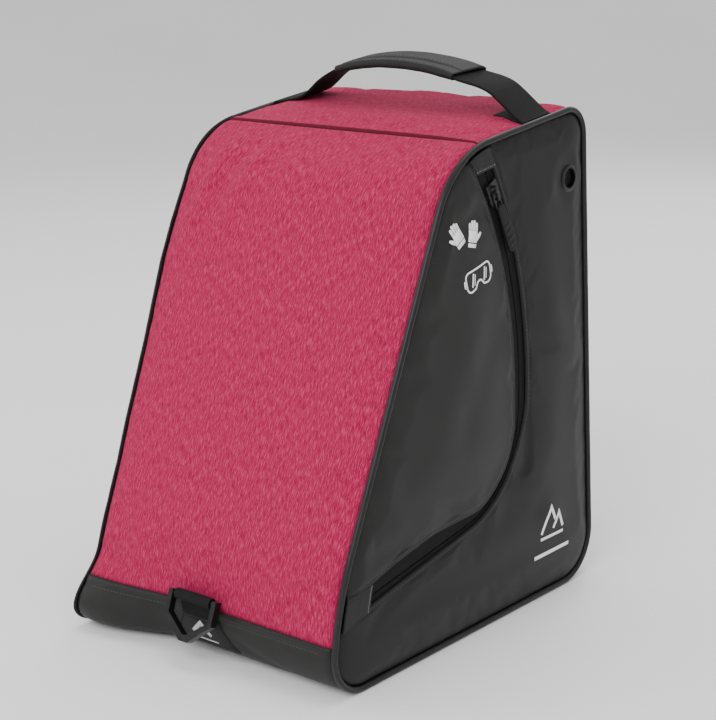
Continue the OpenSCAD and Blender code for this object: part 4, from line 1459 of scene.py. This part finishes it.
def grip():
    line = grip_line(GRIP_A + 0.4, GRIP_A + 0.4, 2.2)
    frames = band_frames(line)
    outer, inner = sleeve_sections(WEBBING_W + 3, 6.6, 1.5, 0.16)
    n, m = len(line), len(outer)
    at = lengths(line)
    rows = []
    for section in (outer, inner):
        for k, (p, (a, b)) in enumerate(zip(line, frames)):
            end = min(at[k], at[-1] - at[k])
            for u, v in section:
                pinch = 1 - 0.16 * math.exp(-end / 7.0)
                lump = 1 + 0.04 * float(noise(at[k], u * 2, 24, 141))
                skew = 0.13 * u * math.exp(-end / 12.0) * (1 if at[k] > at[-1] / 2 else -1)
                along_d = np.array([b[2], 0, -b[0]])
                rows.append(np.array([p[0], 0, p[1]]) + a * u * lump + b * v * pinch * lump + along_d * skew)
    size = n * m
    faces = list(grid_faces(n, m, wrap_v=True))
    faces += [list(f)[::-1] for f in grid_faces(n, m, wrap_v=True, offset=size)]
    for i in (0, n - 1):
        for j in range(m):
            k = (j + 1) % m
            quad = [i * m + j, i * m + k, size + i * m + k, size + i * m + j]
            faces.append(quad if i else quad[::-1])
    around = lengths(closed(outer))[:-1]
    uv = np.array([[at[i], around[j]] for _ in range(2) for i in range(n) for j in range(m)])
    obj = make("handle_grip_sleeve", on_top(rows), faces, uv=uv)
    finish_piece(obj, "handle", GRIP_CLOTH, ("handle_grip",))
    tree = surface_of(obj)
    for name, y in (("handle_grip_thread_front", -WEBBING_W / 2 + 2.2), ("handle_grip_thread_lap", -4.0)):
        line3 = on_top(np.column_stack([line[3:-3, 0], np.full(n - 6, y), line[3:-3, 1] + 6]))
        thread_row(name, tree, line3, tuple(on_top([(0, 0, 0)])[0] - on_top([(0, 0, 1)])[0]), THREAD, gap=3.6,
                   body="handle")


handle()

# ------------------------------------------------ strap rings, their tabs and the front patch

FRONT_BAR, REAR_BAR = (-172.0, 50.0), (145.0, 368.0)
BAR_R = 2.2


def ring_tab(name, node, bar, line, width=WEBBING_W - 1, thick=1.6):
    """Webbing folded round a ring's bar; line is its centre line in (y, z) from the bar's centre."""
    path = resample(np.asarray(line, float), 90) + np.asarray(bar)
    d = np.gradient(path, axis=0)
    d /= np.linalg.norm(d, axis=1)[:, None]
    frames = [(np.array([1.0, 0, 0]), np.array([0, -q[1], q[0]])) for q in d]
    points = np.column_stack([np.zeros(len(path)), path])
    section = box_section(width, thick, 0.7)
    obj = sweep(name, points, frames, section)
    return finish_piece(obj, "root", WEBBING, (node,))


def loop_line(r, leave, enter, tail_a, tail_b):
    """Round the bar from angle enter to angle leave, with a straight tail at each end."""
    turn = arc((0, 0), r, enter, leave, 0.8)
    return np.vstack([[tail_a], turn, [tail_b]])


R_LOOP = BAR_R + 0.3 + 0.8
ring_tab("front_ring_webbing", "front_ring_tab", FRONT_BAR,
         curve_through(loop_line(R_LOOP, 330, 20, (6.1, -15.5), (5.2, -16.5)), step=0.7, rounds=2))
ring_tab("rear_ring_webbing", "rear_ring_tab", REAR_BAR,
         curve_through(loop_line(R_LOOP, 215, 512, (-5.0, -12.0), (-6.6, -12.0)), step=0.7, rounds=2))


def patch_height(u, v):
    """Height of the patch's face: u across and v up, both from -1 to 1, with a raised border."""
    edge = np.minimum(1 - np.abs(u), (1 - np.abs(v)) * 0.8)
    body = 0.9 * smooth(edge / 0.05)
    border = 0.55 * np.exp(-((edge - 0.11) / 0.035) ** 2)
    groove = -0.3 * np.exp(-((edge - 0.2) / 0.03) ** 2)
    return 0.25 + body + border + groove


PATCH_Z, PATCH_HW = (12.2, 35.0), (32.5, 17.0)  # its foot and top, and half its width at each


def front_patch():
    n, m = 70, 90
    z = np.linspace(*PATCH_Z, n)
    u = np.linspace(-1, 1, m)
    s_of_z = np.interp(z, *rim_height_table())
    half = np.interp(z, PATCH_Z, PATCH_HW)
    p, nrm = rim_at(s_of_z)
    x = half[:, None] * u[None]
    v = np.linspace(-1, 1, n)
    base = front_band_offset(np.repeat(s_of_z[:, None], m, 1), x)
    top = np.stack([x, p[:, None, 0] + nrm[:, None, 0] * (base + patch_height(u[None], v[:, None])),
                    p[:, None, 1] + nrm[:, None, 1] * (base + patch_height(u[None], v[:, None]))], -1)
    low = np.stack([x, p[:, None, 0] + nrm[:, None, 0] * (base - 0.2),
                    p[:, None, 1] + nrm[:, None, 1] * (base - 0.2)], -1)
    obj = slab("front_rubber_patch", top, low, np.stack([x, np.repeat(z[:, None], m, 1)], -1))
    finish_piece(obj, "root", (RUBBER, RUBBER), ("front_patch",))
    return obj


def rim_height_table():
    """Heights up the front of the outline, with the distance along it for each."""
    s = np.linspace(2, S_BAND + 10, 400)
    p, _ = rim_at(s)
    return p[:, 1], s


patch = front_patch()

# ------------------------------------------------ eyelets, sliders, pulls and the other hard parts


def bevelled(node, width, material, segments=3, angle=35):
    """Rounds a CAD part's edges and gives it its finish."""
    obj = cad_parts[node]
    bevel = obj.modifiers.new("edges", "BEVEL")
    bevel.width = width * MM
    bevel.segments = segments
    bevel.limit_method = "ANGLE"
    bevel.angle_limit = math.radians(angle)
    obj.data.materials.clear()
    obj.data.materials.append(material)


def hard_parts():
    for node in ("front_ring", "rear_ring"):
        bevelled(node, 1.3, RING)
    bevelled("base_board", 1.0, BOARD)
    bevelled("zip_end_stops", 0.4, METAL)
    for word, _ in SIDES:
        bevelled(f"eyelet_{word}", 0.35, RIM_BLACK)
        for kind in ("main", "pocket"):
            bevelled(f"{kind}_slider_{word}", 0.35, METAL)
            bevelled(f"{kind}_pull_link_{word}", 0.12, METAL, 2)


hard_parts()


def vent_nets():
    """The net behind each eyelet: two sets of fine threads woven over and under one another."""
    r, pitch, thick = 9.0, 1.05, 0.17
    for word, side in SIDES:
        parts = []
        for axis in (0, 1):
            for k in range(-8, 9):
                at = k * pitch
                half = math.sqrt(max(r * r - at * at, 0))
                if half < 1:
                    continue
                t = np.linspace(-half, half, max(8, int(half / 0.22)))
                wave = 0.13 * np.cos(t / pitch * math.pi) * (1 if k % 2 else -1) * (1 if axis else -1)
                line = np.stack([wave, np.where(axis, t, at), np.where(axis, at, t)], -1)
                rows = []
                for p in line:
                    for q in np.radians((45, 135, 225, 315)):
                        cross = np.array([math.cos(q), 0, 0]) + math.sin(q) * np.array([0, 1 - axis, axis])
                        rows.append(p + thick * cross)
                centre = np.array([side * (TAPE_OUT + 0.3), *VENT])
                parts.append((np.array(rows) * (side, 1, 1) + centre, tube_faces(len(line), 4)))
        obj = joined(f"vent_net_{word}", parts)
        finish_piece(obj, "root", NET, (f"eyelet_mesh_{word}",))


vent_nets()


def track_frame(side):
    turn = Matrix.Rotation(math.radians(SLIDER_A), 4, "X")
    m = (Matrix.Translation((TAPE_OUT, *TRACK_C1)) @ turn @ Matrix.Translation((0, TRACK_R, 0))
         @ Matrix.Rotation(math.pi / 2, 4, "Y") @ Matrix.Rotation(math.pi / 2, 4, "Z"))
    return (Matrix.Scale(-1, 4, (1, 0, 0)) if side < 0 else Matrix.Identity(4)) @ m


def arch_frame(side):
    back = Matrix.Translation((0, BASE_D / 2, FOOT_Z)) @ Matrix.Rotation(math.pi / 2 + BACK_A, 4, "X")
    lean = math.radians(3.6) * side
    return (back @ Matrix.Translation((0, ARCH_Y, DOOR_SKIN - 1.5)) @ Matrix.Rotation(-lean, 4, "Z")
            @ Matrix.Translation((0, ARCH_R, 0)) @ Matrix.Rotation(lean, 4, "Z")
            @ Matrix.Scale(-1, 4, (0, 0, 1)))


def tab_mesh(name, frame_matrix, y0, y1, half0, half1, z0, z1, ribs):
    """A moulded pull tab: rounded outline, domed faces and raised ribs, flat side down."""
    n, m = 96, 30
    t = np.linspace(0, 1, n)
    y = y0 + (y1 - y0) * t
    reach = abs(y1 - y0)
    body = half0 + (half1 - half0) * t
    ends = np.sqrt(np.clip(1 - np.clip(1 - t * reach / half0, 0, 1) ** 2, 0, 1))
    ends = ends * np.sqrt(np.clip(1 - np.clip(1 - (1 - t) * reach / half1, 0, 1) ** 2, 0, 1))
    half = np.maximum(0.25, body * ends)
    mid, thick = (z0 + z1) / 2, (z1 - z0) / 2
    rows = []
    for k in range(n):
        for j in range(m):
            q = 2 * math.pi * j / m
            c, s = math.cos(q), math.sin(q)
            cx = math.copysign(abs(c) ** 0.55, c)
            sz = math.copysign(abs(s) ** 0.4, s)
            inner = max(0.0, 1 - abs(cx) / 0.72)
            along_tab = (t[k] - 0.42) / 0.46
            wave = max(0.0, math.sin(ribs * math.pi * along_tab)) * (0 < along_tab < 1)
            rib = 0.32 * wave * min(1, inner * 5)
            slim = 0.75 + 0.25 * min(1.0, half[k] / 2.0)
            rows.append((cx * half[k], y[k], mid + sz * thick * slim + math.copysign(rib, s)))
    return make(name, np.array([frame_matrix @ Vector(r) for r in rows]), tube_faces(n, m))


def pulls():
    for word, side in SIDES:
        link_z = 0.4 + 1.8 + 1.05
        tab = tab_mesh(f"pocket_pull_moulding_{word}", track_frame(side), -9.9, -50.9, 4.1, 4.9,
                       link_z - 0.35, link_z + 2.1, 7)
        finish_piece(tab, f"pocket_pull_{word}", TABS, (f"pocket_pull_tab_{word}",))
        tab = tab_mesh(f"main_pull_moulding_{word}", arch_frame(side), -13.2, -49.4, 3.6, 4.6,
                       5.0 - 0.85, 5.0 + 0.85, 7)
        finish_piece(tab, f"main_pull_{word}", TABS, (f"main_pull_tab_{word}",))


pulls()

# ------------------------------------------------ printed signs: gloves, goggles, a plain mark


def dense(points, step=1.2, loop=False):
    """Adds points along each straight stretch and keeps the corners."""
    points = closed(np.asarray(points, float)) if loop else np.asarray(points, float)
    rows = []
    for a, b in zip(points[:-1], points[1:]):
        n = max(1, int(np.linalg.norm(b - a) / step))
        rows += [a + (b - a) * k / n for k in range(n)]
    return np.array(rows if loop else rows + [points[-1]])


def drawn_line(points, width, loop=False):
    """A line of even width with mitred corners, as (points, faces) in the plane."""
    p = dense(points, loop=loop)
    before, after = np.roll(p, 1, 0), np.roll(p, -1, 0)
    if not loop:
        before[0], after[-1] = 2 * p[0] - p[1], 2 * p[-1] - p[-2]
    a = (p - before) / np.linalg.norm(p - before, axis=1)[:, None]
    b = (after - p) / np.linalg.norm(after - p, axis=1)[:, None]
    na, nb = np.column_stack([-a[:, 1], a[:, 0]]), np.column_stack([-b[:, 1], b[:, 0]])
    m = (na + nb) / np.linalg.norm(na + nb, axis=1)[:, None]
    m = m / np.maximum(0.5, (m * na).sum(1))[:, None] * width / 2
    n = len(p)
    faces = [[i, (i + 1) % n, n + (i + 1) % n, n + i] for i in range(n if loop else n - 1)]
    return np.vstack([p + m, p - m]), faces


def filled(points):
    """A filled convex shape, as a fan from its middle."""
    p = dense(points, loop=True)
    n = len(p)
    return np.vstack([p, p.mean(0)]), [[i, (i + 1) % n, n] for i in range(n)]


def turned(shape, angle, at, scale=1.0, flip=1):
    c, s = math.cos(math.radians(angle)), math.sin(math.radians(angle))
    v = shape[0] * [flip, 1] * scale @ np.array([[c, s], [-s, c]]) + np.asarray(at)
    return v, shape[1]


def finger(x, y0, y1, w):
    top = arc((x, y1 - w / 2), w / 2, 0, 180, 0.4)
    return filled(np.vstack([[(x - w / 2, y0), (x + w / 2, y0)], top]))


def glove():
    """One glove, fingers up: four fingers, a palm with a thumb, and a cuff below a gap."""
    w, gap = 2.2, 0.55
    parts = [finger(-4.1 + k * (w + gap), 4.6, top, w) for k, top in enumerate((9.6, 11.6, 11.9, 10.4))]
    parts.append(filled([(-5.2, 4.35), (-5.2, -4.4), (5.2, -4.4), (5.2, 4.35)]))
    parts.append(filled([(5.4, -3.4), (8.9, 0.8), (9.9, 3.6), (8.5, 4.4), (7.3, 3.2), (5.4, 1.6)]))
    parts.append(filled([(-5.0, -5.3), (-4.6, -8.2), (4.6, -8.2), (5.0, -5.3)]))
    return parts


def gloves():
    left = [turned(part, 12, (-8.6, -1.2), flip=-1) for part in glove()]
    right = [turned(part, -34, (9.4, 0.6)) for part in glove()]
    return [turned(part, 0, (0, 0), 0.97, flip=-1) for part in left + right]


def goggles():
    """Ski goggles from the front: one wide frame with a nose notch, glints and two strap ends."""
    half = np.vstack([[(0, 8.2)], arc((12.8, 3.6), 4.8, 88, 8, 0.8), arc((11.8, -3.0), 5.6, -6, -96, 0.8),
                      [(6.2, -7.6), (2.6, -3.2), (0, -2.4)]])
    frame_line = np.vstack([half, (half[1:-1] * [-1, 1])[::-1]])
    parts = [drawn_line(frame_line, 1.5, loop=True)]
    for x in (-10.2, 6.6):
        parts.append(drawn_line([(x, -5.2), (x + 3.4, 5.6)], 1.5))
        parts.append(drawn_line([(x + 3.0, -4.4), (x + 5.6, 4.2)], 0.8))
    for sign in (-1, 1):
        strap_end = [(18.9, 3.6), (20.4, 3.0), (20.4, -2.6), (18.9, -3.2)]
        parts.append(filled([(sign * x, y) for x, y in strap_end]))
    return [turned(part, 13, (0, 0), 0.88) for part in parts]


def peaks():
    """Two plain mountain peaks in outline over one straight bar."""
    return [drawn_line([(-14, -9), (-3.5, 10), (2.6, -0.6)], 2.6),
            drawn_line([(1.2, -7.6), (7.6, 3.6), (14.5, -9)], 2.6),
            drawn_line([(-14.4, -13), (14.9, -13)], 2.2)]


def film_of(name, shapes, thickness):
    """Flat shapes as one thin film."""
    obj = joined(name, shapes)
    film = obj.modifiers.new("film", "SOLIDIFY")
    film.thickness = thickness * MM
    film.offset = 0
    return obj


def printed(name, parts, centre, surface, side, scale=1.0, material=INK):
    """Prints flat shapes on a side panel: each point is dropped straight on to the cloth."""
    tree = surface_of(surface)
    made = []
    for v, f in parts:
        y, z = centre[0] + v[:, 0] * scale * side, centre[1] + v[:, 1] * scale
        rows = []
        for a, b in zip(y, z):
            hit, _, _, _ = tree.ray_cast(Vector((side * 0.16, a * MM, b * MM)), Vector((-side, 0, 0)), 0.08)
            rows.append((side * 0.13 if hit is None else hit.x) / MM)
        made.append((np.column_stack([np.array(rows) + side * 0.1, y, z]), f))
    return finish_piece(film_of(name, made, 0.22), "root", material)


def prints():
    for word, side in SIDES:
        cloth = SIDE_PIECES["pocket", side]
        printed(f"print_gloves_{word}", gloves(), (-23, 309.5), cloth, side)
        printed(f"print_goggles_{word}", goggles(), (-8, 278), cloth, side)
    cloth = SIDE_PIECES["side", 1]
    printed("print_peaks_right", peaks(), (99, 66), cloth, 1, 1.08)
    printed("print_bar_right", [drawn_line([(-25, 0), (25, 0)], 3.0)], (100, 38.5), cloth, 1)


prints()


def patch_mark():
    """A plain grey chevron over a short bar, moulded in the front patch."""
    tree = surface_of(patch)
    shapes = [drawn_line([(-9, -4), (0, 5), (9, -4)], 3.4), drawn_line([(-14, -8.6), (14, -8.6)], 1.3)]
    made = []
    for v, f in shapes:
        rows = []
        for a, b in v + [0, 24]:
            hit, _, _, _ = tree.ray_cast(Vector((a * MM, -0.3, b * MM)), Vector((0, 1, 0)), 0.3)
            rows.append((a, (-0.166 if hit is None else hit.y) / MM - 0.12, b))
        made.append((np.array(rows), f))
    finish_piece(film_of("front_patch_chevron", made, 0.3), "root", MARK)


patch_mark()

# ------------------------------------------------ light and floor


def area_light(name, at, target, size, power):
    light = bpy.data.lights.new(name, "AREA")
    light.energy = power
    light.size = size
    obj = bpy.data.objects.new(name, light)
    obj.location = at
    obj.rotation_euler = (Vector(target) - Vector(at)).to_track_quat("-Z", "Y").to_euler()
    bpy.context.scene.collection.objects.link(obj)


def floor():
    """A wide pale floor that curves up far from the bag, all round."""
    flat, rise, n = 2600.0, 2200.0, 96
    radius = np.r_[np.linspace(1, flat, 30), flat + rise * np.sin(np.radians(np.linspace(4, 90, 24)))]
    height = np.r_[np.zeros(30), rise * (1 - np.cos(np.radians(np.linspace(4, 90, 24))))]
    radius, height = np.r_[radius, radius[-1]], np.r_[height, height[-1] + 1400]
    a = np.linspace(0, 2 * math.pi, n, endpoint=False)
    points = np.stack([radius[:, None] * np.cos(a), radius[:, None] * np.sin(a),
                       np.repeat(height[:, None], n, 1)], -1).reshape(-1, 3)
    faces = grid_faces(len(radius), n, wrap_v=True).tolist() + [list(range(n))]
    obj = make("floor", points, faces)
    m = Nodes("pale_floor")
    m.join(m.ramp(m.noise(m.solid(), 3, 2.0), [(0.3, (0.90, 0.90, 0.90)), (0.7, (0.92, 0.92, 0.92))]),
           m.shader.inputs["Base Color"])
    m.shine(Roughness=0.7)
    obj.data.materials.append(m.material)


floor()
area_light("key", (0.5, -2.1, 1.7), (0, 0, 0.2), 1.5, 50)
area_light("fill", (-2.0, -0.9, 1.3), (0, 0, 0.2), 1.8, 20)
area_light("top", (0.1, 0.6, 2.6), (0, 0, 0.2), 1.8, 31)
area_light("side", (2.2, 0.6, 0.9), (0, 0, 0.15), 1.6, 3.2)
area_light("rim", (-0.6, 2.2, 1.4), (0, 0, 0.2), 1.4, 14)
world = bpy.data.worlds.new("studio")
world.use_nodes = True
world.node_tree.nodes["Background"].inputs["Color"].default_value = (1.0, 1.0, 1.0, 1)
world.node_tree.nodes["Background"].inputs["Strength"].default_value = 0.62
bpy.context.scene.world = world

# ------------------------------------------------ how the bag stands: its left side has settled

FRONT_FACE = ([FOOT_Z, 75.0, SHOULDER[1]], [-BASE_D / 2, -BASE_D / 2 + 10, SHOULDER[0]])
LEFT_IN = ([15, 37, 66, 95, 124, 153, 182, 211, 240, 269, 299, 330, 368],  # heights, and how far in
           [6, 8, 11, 12.5, 11.5, 9, 7.5, 6, 3.5, 1, 1, 3, 1])
TOE_SLIP = 26


def settled_left(p):
    """Moves points (mm): the soft left side leans in behind the front's edge and its toe slips forward."""
    x, y, z = p.T
    behind = y - np.interp(z, *FRONT_FACE)
    lean = np.interp(z, *LEFT_IN) * smooth((-x - 20) / 102) * (1 - smooth((behind - 10) / 125))
    flattened = 0.5 * np.maximum(0, -WALL_X - x) * (1 - smooth((behind - 25) / 60))
    slip = TOE_SLIP * smooth((-x - 15) / 95) * (1 - smooth((z - 6) / 54)) * (1 - smooth((y + 150) / 80))
    return np.column_stack([x + lean + flattened, y - slip, z])


def settle_all():
    """Gives every new piece that slump. The CAD's own nodes and the floor stay."""
    fixed = set(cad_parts.values())
    meshes = [o for o in bpy.context.scene.objects if o.type == "MESH" and o.name != "floor"]
    for obj in [o for o in meshes if o not in fixed]:
        n = len(obj.data.vertices)
        flat = np.empty(n * 3, np.float32)
        obj.data.vertices.foreach_get("co", flat)
        moved = settled_left(flat.reshape(n, 3).astype(float) / MM) * MM
        obj.data.vertices.foreach_set("co", moved.astype(np.float32).ravel())
        obj.data.update()


settle_all()
